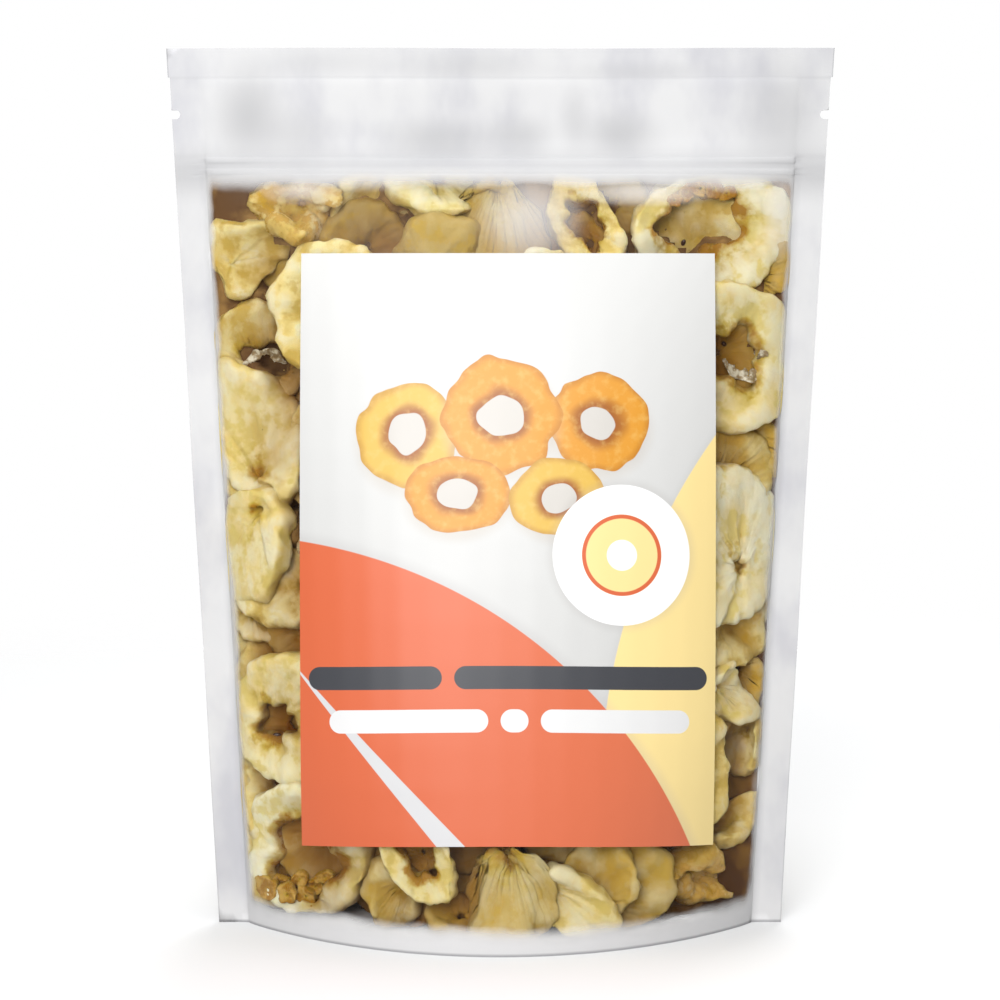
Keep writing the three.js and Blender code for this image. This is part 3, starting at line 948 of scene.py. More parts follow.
# %% Soft patches, shared by the flesh, the linings, the dark sheet and the film
patches, given, result = group(
    "soft_patches",
    [("Vector", VECTOR, None), ("Scale", FLOAT, 100.0), ("Low", FLOAT, 0.4), ("High", FLOAT, 0.6)],
    [("Mask", FLOAT)],
)
noise = node(patches, "ShaderNodeTexNoise", {"Vector": given.outputs["Vector"],
             "Scale": given.outputs["Scale"], "Detail": 4.0, "Roughness": 0.55})
step = node(patches, "ShaderNodeMapRange", {"Value": noise.outputs["Fac"], "From Min": given.outputs["Low"],
            "From Max": given.outputs["High"]}, interpolation_type="SMOOTHSTEP")
patches.links.new(step.outputs["Result"], result.inputs["Mask"])

# %% [markdown]
# Dried apple flesh is pale straw, with ochre patches where it browned and amber round the
# hole, where sugar gathered. It is matt and a little translucent. The colours follow the
# flesh itself: the mesh carries each point's place round the ring and between hole and rim,
# so streaks run out from the core. It also carries each ring's own look (how pale, golden
# and sugary), how raised each point is and how deep in the pouch it is. Raised parts get a
# painted highlight and hollows painted shade, and deeper points get painted shade too.

# %% Apple flesh
PALE = (0.99, 0.865, 0.43)
WHITE = (0.99, 0.955, 0.74)
CREAM = (0.96, 0.745, 0.26)
TAN = (0.49, 0.335, 0.115)
SAND = (0.59, 0.42, 0.13)
STRAW = (0.61, 0.385, 0.045)
GOLD = (0.68, 0.40, 0.03)
OCHRE = (0.52, 0.29, 0.02)
AMBER = (0.40, 0.17, 0.010)
HONEY = (0.66, 0.40, 0.09)
OLIVE = (0.64, 0.46, 0.04)
LIME = (0.80, 0.64, 0.15)
IN_SHADE = (0.42, 0.22, 0.05)
# Streaks are narrow round the ring and long from the hole to the rim
STREAK_STRETCH = (9, 9, 0.8)
# From how deep (mm) the shade starts and where it is full, and its strength there
SHADE_FROM, SHADE_TO = 3.0, 19.0
DARKEST_SHADE = 0.92


def apple_flesh():
    """Dried flesh: its colour from pale to brown in many thin layers, then its gloss and bumps."""
    made, tree, shader = material("apple_flesh")
    place = object_place(tree)
    flesh = carried(tree, "flesh", "Vector")
    deep, pleated, raised = (carried(tree, name) for name in ("deep", "pleated", "raised"))
    share = parted(tree, flesh)["Z"]
    looks = parted(tree, carried(tree, "look", "Vector"))
    tone, gold, sugar = looks["X"], looks["Y"], looks["Z"]
    shifted = vector_calc(tree, "ADD", vector_calc(tree, "MULTIPLY", flesh, STREAK_STRETCH), place)
    streaks = noise_at(tree, shifted, 1.6, 3.0)
    broad = use(tree, patches, {"Vector": place, "Scale": 60.0, "Low": 0.38, "High": 0.62})
    small = use(tree, patches, {"Vector": place, "Scale": 260.0, "Low": 0.42, "High": 0.62})
    browned = use(tree, patches, {"Vector": place, "Scale": 85.0, "Low": 0.52, "High": 0.68})

    # The flesh itself, from tan to pale and whiter on the palest rings, mottled, with painted shade in the
    # hollows of its relief and a painted highlight on its raised parts
    pale = mixed(tree, broad, CREAM, PALE)
    tan = mixed(tree, broad, SAND, TAN)
    uneven_tone = calc(tree, "MULTIPLY_ADD", broad, 0.25, calc(tree, "SUBTRACT", tone, 0.12))
    colour = mixed(tree, ramp(tree, uneven_tone, 0.15, 0.95), tan, pale)
    whitened = calc(tree, "MULTIPLY_ADD", broad, 0.5, 0.5)
    whitened = calc(tree, "MULTIPLY", ramp(tree, tone, 0.9, 1.3), whitened)
    colour = mixed(tree, whitened, colour, WHITE)
    # Painted shade and painted highlight: hollows of the relief take the stain colour and raised parts turn
    # white, over mottling that is the flesh's own
    mottle_and_relief_shade = calc(tree, "MULTIPLY_ADD", small, -0.8, calc(tree, "ADD", raised, 0.35))
    stain_and_hollow_shade = mixed(tree, ramp(tree, tone, 0.8, 1.1), STRAW, LIME)
    colour = mixed(tree, ramp(tree, mottle_and_relief_shade, 0.3, -0.9, 0, 0.68), colour, stain_and_hollow_shade)
    mottle_and_painted_highlight = ramp(tree, mottle_and_relief_shade, 0.2, 1.4, 0, 0.55)
    mottle_and_painted_highlight = calc(tree, "MULTIPLY", mottle_and_painted_highlight, ramp(tree, tone, 0.2, 0.9, 0.1, 1))
    colour = mixed(tree, mottle_and_painted_highlight, colour, WHITE)

    # Golden patches, and candied sugar on the pieces that have much of it
    golden = calc(tree, "MULTIPLY", gold, calc(tree, "MULTIPLY_ADD", browned, 0.7, 0.3))
    colour = mixed(tree, golden, colour, GOLD)
    candied = ramp(tree, calc(tree, "MULTIPLY_ADD", small, 0.3, gold), 1.1, 1.5)
    colour = mixed(tree, candied, colour, mixed(tree, small, AMBER, HONEY))

    # Creases, veins, fibres and the thin skin at the rim
    crease = thin_lines(tree, noise_at(tree, shifted, 120.0, 2.0), 0.045)
    colour = mixed(tree, calc(tree, "MULTIPLY", crease, 0.22), colour, OLIVE)
    vein = thin_lines(tree, noise_at(tree, shifted, 210.0, 1.0), 0.05)
    colour = mixed(tree, calc(tree, "MULTIPLY", vein, 0.16), colour, STRAW)
    fibre = calc(tree, "MULTIPLY", pleated, 0.25)
    fibre = calc(tree, "MULTIPLY", ramp(tree, streaks, 0.50, 0.68), fibre)
    colour = mixed(tree, fibre, colour, STRAW)
    rim = calc(tree, "MULTIPLY", ramp(tree, share, 0.93, 1.0), 0.40)
    colour = mixed(tree, rim, colour, STRAW)

    # Browning round the hole: a ragged share of the way to the rim, in three darker steps
    ragged = noise_at(tree, place, 190.0, 3.0)
    rays = calc(tree, "MULTIPLY", calc(tree, "SUBTRACT", streaks, 0.5), pleated)
    uneven_edge = calc(tree, "MULTIPLY_ADD", rays, 0.22, calc(tree, "MULTIPLY_ADD", ragged, 0.7, 0.01))
    wavering = calc(tree, "ADD", uneven_edge, calc(tree, "SUBTRACT", share, 0.36))
    wavering = calc(tree, "MULTIPLY_ADD", sugar, -0.16, wavering)
    wavering = calc(tree, "MULTIPLY_ADD", browned, -0.24, calc(tree, "ADD", wavering, 0.12))
    around = ramp(tree, wavering, 0.30, 0.05)
    around = calc(tree, "MULTIPLY", around, ramp(tree, small, 0.0, 0.9, 0.4, 0.7))
    colour = mixed(tree, around, colour, OLIVE)
    near_hole = calc(tree, "MULTIPLY", ramp(tree, wavering, 0.16, 0.02), 0.60)
    colour = mixed(tree, near_hole, colour, OCHRE)
    at_hole = calc(tree, "MULTIPLY", ramp(tree, wavering, 0.05, -0.08), 0.75)
    colour = mixed(tree, at_hole, colour, AMBER)

    # Pieces deeper in the pouch get less light than a few bounces can show
    shade = calc(tree, "MULTIPLY", ramp(tree, deep, SHADE_FROM, SHADE_TO), DARKEST_SHADE)
    colour = mixed(tree, shade, colour, IN_SHADE, "MULTIPLY")
    tree.links.new(colour, shader.inputs["Base Color"])

    # Matt and a little translucent, with gloss only on sugar
    gloss = calc(tree, "MAXIMUM", candied, calc(tree, "MULTIPLY", at_hole, sugar))
    tree.links.new(ramp(tree, gloss, 0, 1, 0.45, 0.16), shader.inputs["Roughness"])
    shader.inputs["Specular IOR Level"].default_value = 0.28
    shader.inputs["Subsurface Weight"].default_value = 0.12
    shader.inputs["Subsurface Radius"].default_value = (1.0, 0.6, 0.25)
    shader.inputs["Subsurface Scale"].default_value = 0.003
    grain = noise_at(tree, place, 600.0, 1.0)
    wrinkle = noise_at(tree, place, 230.0, 2.0)
    height = calc(tree, "MULTIPLY_ADD", wrinkle, 1.4, grain)
    height = calc(tree, "MULTIPLY_ADD", rays, 0.9, height)
    height = calc(tree, "MULTIPLY_ADD", crease, -0.35, height)
    height = calc(tree, "MULTIPLY_ADD", vein, -0.1, height)
    bump = node(tree, "ShaderNodeBump", {"Strength": 0.7, "Distance": 0.0008, "Height": height})
    tree.links.new(bump.outputs["Normal"], shader.inputs["Normal"])
    return made


LINING_DARK, LINING_PALE = (0.22, 0.15, 0.07), (0.52, 0.47, 0.35)
SEED_BROWN = (0.035, 0.012, 0.005, 1)


def papery():
    """The wall of a seed pocket, dried to something like parchment."""
    made, tree, shader = material("core_lining")
    mask = use(tree, patches, {"Vector": object_place(tree), "Scale": 420.0, "Low": 0.42, "High": 0.6})
    tree.links.new(mixed(tree, mask, LINING_DARK, LINING_PALE), shader.inputs["Base Color"])
    shader.inputs["Roughness"].default_value = 0.35
    return made


def seed_coat():
    """The smooth dark brown of an apple seed."""
    made, tree, shader = material("seed_coat")
    shader.inputs["Base Color"].default_value = SEED_BROWN
    shader.inputs["Roughness"].default_value = 0.4
    return made


flesh_material = apple_flesh()
for made in ring_pieces:
    made.data.materials.append(flesh_material)
lining_piece.data.materials.append(papery())
seed_piece.data.materials.append(seed_coat())
for made in (*ring_pieces, lining_piece, seed_piece):
    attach(made, "root")

# %% [markdown]
# A real pouch has so many rings that no light shines through. Here the gaps between the
# layers could let the far side show, so one dark sheet is threaded through the middle of the
# heap. It passes inside the pieces wherever there are some, and so it shows only in the gaps.
# Its brown is painted shade, for the shaded flesh deep in the heap, with patches of painted light.

# %% Dark sheet through the middle of the heap
SHEET_COLUMNS, SHEET_ROWS = 104, 132
SHEET_ROUNDS = 24
SHEET_THICKNESS = 0.3 * MM
SHEET_MARGIN = 0.8 * MM
# How far inside a piece the sheet keeps, as a share of the piece's thickness there
SHEET_INSET = 0.3
# The least share of half the room that the sheet leaves to each face of the film
SHEET_CLEAR = 0.4
sheet_low, sheet_high = WINDOW_BOTTOM + 1 * MM, WINDOW_TOP - 2 * MM


def sheet_reach(z):
    """How far the sheet goes to each side at a height, close to the seals."""
    return half_width(z) - SIDE_SEAL - SHEET_MARGIN


def finer(points, closed):
    """A grid of points with one more between each two, both round the ring and its section."""
    ahead = np.roll(points, -1, 0) if closed else np.concatenate([points[1:], points[-1:]])
    points = np.stack([points, (points + ahead) / 2], 1).reshape(-1, *points.shape[1:])
    ahead = np.roll(points, -1, 1)
    return np.stack([points, (points + ahead) / 2], 2).reshape(len(points), -1, 3)


def reach_in_depth(pieces):
    """For each piece and each place of the sheet's grid, the piece's nearest and farthest point."""
    near = np.full((len(pieces), SHEET_COLUMNS * SHEET_ROWS), np.inf)
    far = -near
    for number, p in enumerate(pieces):
        x, y, z = finer(p["world"], p["closed"]).reshape(-1, 3).T
        column = np.rint((x / sheet_reach(z) + 1) / 2 * (SHEET_COLUMNS - 1))
        row = np.rint((z - sheet_low) / (sheet_high - sheet_low) * (SHEET_ROWS - 1))
        kept = (row >= 0) & (row < SHEET_ROWS)
        cell = (row * SHEET_COLUMNS + np.clip(column, 0, SHEET_COLUMNS - 1)).astype(int)[kept]
        np.minimum.at(near[number], cell, y[kept])
        np.maximum.at(far[number], cell, y[kept])
    return near, far


def threaded_depth(pieces, x, z):
    """How deep the sheet lies at each place of its grid, so that pieces hide it."""
    near, far = reach_in_depth(pieces)
    front, back = face_at(front_face, x, z), face_at(back_face, x, z)
    inset = np.where(np.isfinite(near), SHEET_INSET * (far - near), 0)
    near, far = near + inset, far - inset
    covered = np.isfinite(near).any(0)
    y = (front + back) / 2
    for _ in range(SHEET_ROUNDS):
        grid = np.pad(y.reshape(SHEET_ROWS, SHEET_COLUMNS), 1, mode="edge")
        y = (grid[:-2, 1:-1] + grid[2:, 1:-1] + grid[1:-1, :-2] + grid[1:-1, 2:]).ravel() / 4
        off = np.maximum(near - y, y - far)
        nearest = off.argmin(0)
        every = np.arange(len(y))
        inside = np.clip(y, near[nearest, every], far[nearest, every])
        y = np.where(covered, inside, y)
    room = (back - front) / 2
    return np.clip(y, front + SHEET_CLEAR * room, back - SHEET_CLEAR * room)


def flat_grid(name, columns, rows):
    """A new flat grid, and its points' places across and up it from -1 to 1."""
    bpy.ops.object.select_all(action="DESELECT")
    bpy.ops.mesh.primitive_grid_add(x_subdivisions=columns, y_subdivisions=rows, size=2)
    made = bpy.context.object
    made.name = name
    co = np.array([v.co for v in made.data.vertices])
    return made, co[:, 0], co[:, 1]


def move_points(made, x, y, z):
    """Gives a mesh's points their new places."""
    made.data.vertices.foreach_set("co", np.stack([x, y, z], -1).ravel())
    made.data.update()


def give_wall(made, thickness, offset):
    """Turns a sheet into a closed wall: offset -1 grows it inwards, 1 outwards and 0 both ways."""
    wall = made.modifiers.new("wall", "SOLIDIFY")
    wall.thickness = thickness
    wall.offset = offset
    bpy.ops.object.modifier_apply(modifier="wall")


def dark_sheet():
    """A grid across the pouch, with each of its points moved in depth to where pieces hide it."""
    made, across, up = flat_grid("dark_sheet", SHEET_COLUMNS - 1, SHEET_ROWS - 1)
    order = np.lexsort((across, up))
    z = sheet_low + (up + 1) / 2 * (sheet_high - sheet_low)
    x = across * sheet_reach(z)
    y = np.empty(len(x))
    y[order] = threaded_depth(heap, x[order], z[order])
    move_points(made, x, y, z)
    give_wall(made, SHEET_THICKNESS, 0)
    bpy.ops.object.shade_smooth()
    print("the dark sheet lies", round(y.min() / MM, 1), "to", round(y.max() / MM, 1), "mm deep")
    return made


# The sheet is darker low in the heap, where less light comes in
DUSK_LOW, DUSK_HIGH = (0.060, 0.022, 0.004), (0.11, 0.055, 0.022)
LIT_LOW, LIT_HIGH = (0.15, 0.070, 0.010), (0.27, 0.155, 0.050)
LIGHT_FROM, LIGHT_TO = 60 * MM, 170 * MM


def sheet_material():
    """Brown like flesh in deep shade, in soft patches."""
    made, tree, shader = material("shaded_flesh")
    place = object_place(tree)
    # Patches of painted light and painted shade: the lit colours and the dusk colours mixed by soft patches
    mask = use(tree, patches, {"Vector": place, "Scale": 70.0, "Low": 0.4, "High": 0.65})
    height = parted(tree, place)["Z"]
    dusk = mixed(tree, ramp(tree, height, LIGHT_FROM, LIGHT_TO), DUSK_LOW, DUSK_HIGH)
    lit = mixed(tree, ramp(tree, height, LIGHT_FROM, LIGHT_TO), LIT_LOW, LIT_HIGH)
    tree.links.new(mixed(tree, mask, dusk, lit), shader.inputs["Base Color"])
    shader.inputs["Roughness"].default_value = 0.9
    shader.inputs["Specular IOR Level"].default_value = 0.1
    return made


sheet = dark_sheet()
sheet.data.materials.append(sheet_material())
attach(sheet, "root")

# %% [markdown]
# The film is the solid's own skin: a copy of it is merged, turned from triangles back to
# four-sided faces and smoothed by subdivision with its sharp edges creased. Over the zip and
# along the side seals it is then eased in depth alone, so that its outline stays. Last, it
# gets the thickness of real film inwards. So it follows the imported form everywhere.

# %% Film
FILM_THICKNESS = 0.15 * MM
# Where the film bends softly: heights over the zip, and distances in from the side edge
ZIP_SOFT = (247 * MM, 266 * MM)
SEAL_SOFT = (7 * MM, 16 * MM)
SEAL_SOFT_FROM = 25 * MM
ZIP_ROUNDS, SEAL_ROUNDS = 70, 6
# Points of the solid nearer than this are one, and edges sharper than this stay sharp
SAME_POINT = 0.02 * MM
SHARP_EDGE = 35 * DEGREE
FLAT_ENOUGH, SQUARE_ENOUGH = 30 * DEGREE, 40 * DEGREE
SMOOTH_BELOW = 40 * DEGREE


def film_shell():
    """The solid's skin as a thin shell, eased in depth over the zip and along the side seals."""
    bpy.ops.object.select_all(action="DESELECT")
    made = pouch_node.copy()
    made.data = pouch_node.data.copy()
    made.name = "film_shell"
    made.data.name = "film_shell"
    made.parent = None
    for key in list(made.keys()):
        del made[key]
    made.data.materials.clear()
    bpy.context.scene.collection.objects.link(made)
    made.select_set(True)
    bpy.context.view_layer.objects.active = made
    bpy.ops.object.mode_set(mode="EDIT")
    bpy.ops.mesh.select_all(action="SELECT")
    bpy.ops.mesh.remove_doubles(threshold=SAME_POINT)
    bpy.ops.mesh.tris_convert_to_quads(face_threshold=FLAT_ENOUGH, shape_threshold=SQUARE_ENOUGH)
    bpy.ops.mesh.select_all(action="DESELECT")
    bpy.ops.mesh.edges_select_sharp(sharpness=SHARP_EDGE)
    bpy.ops.transform.edge_crease(value=1)
    bpy.ops.object.mode_set(mode="OBJECT")
    rounded = made.modifiers.new("rounded", "SUBSURF")
    rounded.levels = 2
    rounded.render_levels = 2
    bpy.ops.object.modifier_apply(modifier="rounded")
    over_zip = made.vertex_groups.new(name="over_zip")
    at_seal = made.vertex_groups.new(name="at_seal")
    for vertex in made.data.vertices:
        from_edge = half_width(vertex.co.z) - abs(vertex.co.x)
        if ZIP_SOFT[0] < vertex.co.z < ZIP_SOFT[1] and from_edge > SEAL_SOFT[0]:
            over_zip.add([vertex.index], 1.0, "REPLACE")
        if SEAL_SOFT[0] < from_edge < SEAL_SOFT[1] and vertex.co.z > SEAL_SOFT_FROM:
            at_seal.add([vertex.index], 1.0, "REPLACE")
    for name, rounds in (("over_zip", ZIP_ROUNDS), ("at_seal", SEAL_ROUNDS)):
        eased = made.modifiers.new(name, "SMOOTH")
        eased.vertex_group = name
        eased.use_x = False
        eased.use_z = False
        eased.iterations = rounds
        bpy.ops.object.modifier_apply(modifier=name)
    give_wall(made, FILM_THICKNESS, -1)
    bpy.ops.object.shade_smooth_by_angle(angle=SMOOTH_BELOW)
    for vertex in made.data.vertices:
        vertex.co.z = max(vertex.co.z, 0.0)
    print("film faces:", len(made.data.polygons))
    return made


film = film_shell()

# %% [markdown]
# Film finish. In the middle it is clear, and only its gloss shows. Toward the seals, the
# top and the gusset it turns milky. One mask made from the distance to each edge steers
# colour, gloss and alpha together. Metallic makes the clear part a pure reflection, so
# that its low alpha leaves highlights and takes no light from the rings.

# %% Film finish
# Where the milk is full and where it has gone: in from the side, at the top and at the foot
FROST_SOLID = 8.4 * MM
FROST_GONE = 13.2 * MM
FROST_TOP_SOLID = 259 * MM
FROST_TOP_GONE = 248.5 * MM
FROST_FOOT_SOLID = 3 * MM
FROST_FOOT_GONE = 11 * MM
FROST_WAVER = 5 * MM

frost, given, result = group(
    "frost_mask",
    [("Vector", VECTOR, None)],
    [("Mask", FLOAT), ("From Side", FLOAT)],
)
axes = parted(frost, given.outputs["Vector"])
slope = (TOP_HALF - BASE_HALF) / POUCH_HEIGHT
edge = calc(frost, "MULTIPLY_ADD", axes["Z"], slope, BASE_HALF)
from_side = calc(frost, "SUBTRACT", edge, calc(frost, "ABSOLUTE", axes["X"]))
blown = noise_at(frost, given.outputs["Vector"], 55.0, 2.0)
waver = calc(frost, "MULTIPLY", calc(frost, "SUBTRACT", blown, 0.5), FROST_WAVER)
wavy_height = calc(frost, "ADD", axes["Z"], waver)
side_clear = ramp(frost, calc(frost, "ADD", from_side, waver), FROST_SOLID, FROST_GONE)
top_clear = ramp(frost, wavy_height, FROST_TOP_SOLID, FROST_TOP_GONE)
foot_clear = ramp(frost, wavy_height, FROST_FOOT_SOLID, FROST_FOOT_GONE)
all_clear = calc(frost, "MULTIPLY", side_clear, calc(frost, "MULTIPLY", top_clear, foot_clear))
frost.links.new(calc(frost, "SUBTRACT", 1.0, all_clear), result.inputs["Mask"])
frost.links.new(from_side, result.inputs["From Side"])

# Soft grey spots of painted shade on the milky header: middle across and up, width and height (mm),
# strength
HEADER_SHADE_SPOTS = [(-84, 274, 9, 13, 0.9), (-68, 267, 10, 8, 0.5), (-20, 266, 16, 6, 0.8), (7, 267, 9, 6, 0.7),
           (25, 272, 4, 9, 0.5), (40, 268, 10, 7, 0.9), (93, 274, 10, 16, 0.6), (-10, 291, 18, 4, 0.4),
           (47, 289, 20, 3, 0.4), (-60, 292, 20, 4, 0.3)]
# Where a spot of painted shade ends, as a share of its width and height
SHADE_SPOT_EDGE = 1.3 / 0.7

# Thin haze in front of the rings: middle across and up, width and height (mm), strength
HAZE = [(10, 241, 22, 22, 0.28), (-66, 250, 16, 6, 0.25), (48, 249, 30, 6, 0.3), (94, 245, 8, 24, 0.25)]

# Lines of painted shade across the film, at the lower edge of the top seal and over the zip's
# ribs, and a broad band of it over the zip where the film faces up: height and half
# thickness (mm), strength
SHADE_LINES = [(287.2, 0.9, 0.30), (255.5, 12.0, 0.70), (261.0, 1.6, 0.22), (257.3, 1.6, 0.15),
              (253.7, 1.6, 0.15)]

MILK_PALE, MILK_SHADED = (0.655, 0.655, 0.66), (0.515, 0.515, 0.548)
MILK_LIT_AT_FOOT = (0.68, 0.675, 0.68)
PAINTED_SHADE_GREY = (0.46, 0.46, 0.47)
EDGE_GREY = (0.30, 0.30, 0.31)
CLEAR_TINT = (1, 1, 1)
# Heights between which the foot is painted paler, painted light against the shade it sits
# in, how far the dark line along the side edges reaches, and the heights of the line of
# painted shade along the foot, where the film turns under
FOOT_LIT = (16 * MM, 2 * MM)
SIDE_LINE = 0.6 * MM
FOOT_SHADE_LINE = (1.3 * MM, 0.2 * MM)
# Alpha of the milky film, of the clear film seen straight on, and what it gains seen edge on
MILK_ALPHA = 0.88
CLEAR_ALPHA, EDGE_ON_ALPHA = 0.006, 0.08


def spot_distance(tree, place, x, z, wide, high):
    """Distance on the front from a point (mm), as a share of a width and a height."""
    moved = vector_calc(tree, "SUBTRACT", place, (x * MM, 0, z * MM))
    sized = vector_calc(tree, "MULTIPLY", moved, (1000 / wide, 0, 1000 / high))
    return vector_calc(tree, "LENGTH", sized)


def film_material():
    """Clear film that turns milky toward its borders, with haze, with patches, spots and lines of painted
    shade, and with a foot painted paler.
    """
    made, tree, shader = material("film_finish")
    place = object_place(tree)
    mask = use(tree, frost, {"Vector": place})
    for *spot, strength in HAZE:
        away = spot_distance(tree, place, *spot)
        mask = calc(tree, "MAXIMUM", mask, ramp(tree, away, 1.0, 0.0, 0, strength))
    stretched = node(tree, "ShaderNodeMapping", {"Vector": place, "Scale": (1.0, 1.0, 0.6)}).outputs[0]
    # Soft patches of painted shade on the milky film, mixed from the pale and the shaded milk
    milk_shade_patches = use(tree, patches, {"Vector": stretched, "Scale": 30.0, "Low": 0.42, "High": 0.70})
    milky = mixed(tree, milk_shade_patches, MILK_PALE, MILK_SHADED)
    # Grey spots of painted shade on the milky header
    for *spot, strength in HEADER_SHADE_SPOTS:
        away = spot_distance(tree, place, *spot)
        milky = mixed(tree, ramp(tree, away, SHADE_SPOT_EDGE, 0.0, 0, strength), milky, PAINTED_SHADE_GREY)
    height = parted(tree, place)["Z"]
    # Lines and a broad band of painted shade across the film
    for z, half, strength in SHADE_LINES:
        off = calc(tree, "ABSOLUTE", calc(tree, "SUBTRACT", height, z * MM))
        milky = mixed(tree, ramp(tree, off, half * MM, 0.0, 0, strength), milky, PAINTED_SHADE_GREY)
    # The foot is painted paler: painted light against its shade
    milky = mixed(tree, ramp(tree, height, *FOOT_LIT), milky, MILK_LIT_AT_FOOT)
    from_side = use(tree, frost, {"Vector": place}, 1)
    milky = mixed(tree, ramp(tree, from_side, SIDE_LINE, 0.0, 0, 0.5), milky, EDGE_GREY)
    # A line of painted shade along the foot, where the film turns under
    milky = mixed(tree, ramp(tree, height, *FOOT_SHADE_LINE, 0, 0.85), milky, EDGE_GREY)
    tree.links.new(mixed(tree, mask, CLEAR_TINT, milky), shader.inputs["Base Color"])
    tree.links.new(ramp(tree, mask, 0.06, 0.0), shader.inputs["Metallic"])
    tree.links.new(ramp(tree, mask, 0, 1, 0.28, 0.50), shader.inputs["Roughness"])
    shader.inputs["Specular IOR Level"].default_value = 0.2
    edge_on = node(tree, "ShaderNodeLayerWeight", {"Blend": 0.25}).outputs["Facing"]
    edge_on = calc(tree, "POWER", edge_on, 2.0)
    clear = calc(tree, "MULTIPLY_ADD", edge_on, EDGE_ON_ALPHA, CLEAR_ALPHA)
    alpha = calc(tree, "MULTIPLY_ADD", mask, calc(tree, "SUBTRACT", MILK_ALPHA, clear), clear)
    tree.links.new(alpha, shader.inputs["Alpha"])
    crumple = noise_at(tree, stretched, 40.0, 2.0)
    bump = node(tree, "ShaderNodeBump", {"Strength": 0.4, "Distance": 0.0012, "Height": crumple})
    tree.links.new(bump.outputs["Normal"], shader.inputs["Normal"])
    return made


film.data.materials.append(film_material())
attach(film, "root")

# %% [markdown]
# The zip is two ribs of plastic welded into the mouth of the pouch. Only their milky bands
# show through the film, so two flat strips midway between the pouch's faces are enough.

# %% Zip
# Lower and upper edge of each strip
ZIP_STRIPS = [(255.0 * MM, 257.4 * MM), (258.6 * MM, 261.0 * MM)]
ZIP_HALF = 98 * MM
ZIP_THICKNESS = 0.8 * MM
ZIP_MILK = (0.53, 0.53, 0.54, 1)


def zip_strips():
    """Two flat strips across the pouch, midway between its faces."""
    strips = []
    for low, high in ZIP_STRIPS:
        strip, across, up = flat_grid("zip_strip", 60, 4)
        x = across * ZIP_HALF
        z = (low + high) / 2 + up * (high - low) / 2
        move_points(strip, x, (face_at(front_face, x, z) + face_at(back_face, x, z)) / 2, z)
        strips.append(strip)
    made = as_one(strips, "zip_strips")
    give_wall(made, ZIP_THICKNESS, 0)
    return made


zip_piece = zip_strips()
zip_finish, tree, shader = material("zip_finish")
shader.inputs["Base Color"].default_value = ZIP_MILK
shader.inputs["Roughness"].default_value = 0.4
zip_piece.data.materials.append(zip_finish)
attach(zip_piece, "root")

for made in (film, zip_piece, sheet, lining_piece, seed_piece, *ring_pieces):
    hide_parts("filled_pouch")

# %% [markdown]
# The label is a printed sheet on the front of the belly. Its print is plain fields of
# colour: a white top, an orange field under a long curve, a yellow field at the right, a
# pale ray, a disc, bars, and a few simple drawn rings. It is drawn in millimetres from the
# label's lower left corner, through the sheet's own UV map.

# %% Label
label_low, label_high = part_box("label")
label_width = label_high.x - label_low.x
LABEL_BOTTOM = 36.6 * MM
# Toward both lower corners the label hangs lower, as its belly is round
LABEL_SAG, LABEL_SAG_POWER = 4.7 * MM, 1.3
LABEL_SHEET = 0.15 * MM
LABEL_LIFT = 0.45 * MM
LABEL_COLUMNS, LABEL_ROWS = 72, 100


def label_sheet():
    """A thin sheet that follows the film's front and stands just off it."""
    made, across, up = flat_grid("printed_label", LABEL_COLUMNS, LABEL_ROWS)
    x = label_low.x + (across + 1) / 2 * label_width
    up = (up + 1) / 2
    z = LABEL_BOTTOM + up * (label_high.z - LABEL_BOTTOM)
    z -= LABEL_SAG * (2 * x / label_width) ** 2 * (1 - up) ** LABEL_SAG_POWER
    move_points(made, x, face_at(front_face, x, z) - LABEL_LIFT, z)
    give_wall(made, LABEL_SHEET, 1)
    bpy.ops.object.shade_smooth_by_angle(angle=SMOOTH_BELOW)
    return made


label = label_sheet()

# %% Label print
LABEL_SIZE = (label_width / MM, (label_high.z - LABEL_BOTTOM) / MM, 0)
PAPER_TOP, PAPER_FOOT = (0.585, 0.585, 0.575), (0.55, 0.55, 0.54)
ORANGE, ORANGE_LIT = (0.600, 0.121, 0.045), (0.615, 0.146, 0.064)
YELLOW = (0.82, 0.645, 0.28)
INK = (0.045, 0.047, 0.055)
RAY_WHITE = (0.585, 0.585, 0.595)
BADGE_WHITE = (0.86, 0.86, 0.86)
BAR_WHITE = (0.70, 0.70, 0.70)
# The soft shadows that are printed under the shapes
UNDER_YELLOW, UNDER_HILL = (0.4, 0.4, 0.4), (0.35, 0.33, 0.33)
UNDER_BADGE, UNDER_RING = (0.3, 0.28, 0.27), (0.45, 0.38, 0.30)
RING_GOLD, RING_DEEP, RING_PALE = (0.62, 0.27, 0.022), (0.30, 0.09, 0.007), (0.62, 0.39, 0.06)
RING_FIBRE = (0.71, 0.48, 0.15)


def from_point(tree, place, x, y, stretch=(1, 1, 1), turn=0.0):
    """Distance on the sheet from a point, in millimetres, with an optional stretch and turn."""
    moved = vector_calc(tree, "SUBTRACT", place, (x, y, 0))
    turned_by = (0, 0, turn * DEGREE)
    shaped = node(tree, "ShaderNodeMapping", {"Vector": moved, "Rotation": turned_by, "Scale": stretch})
    return vector_calc(tree, "LENGTH", shaped.outputs[0])


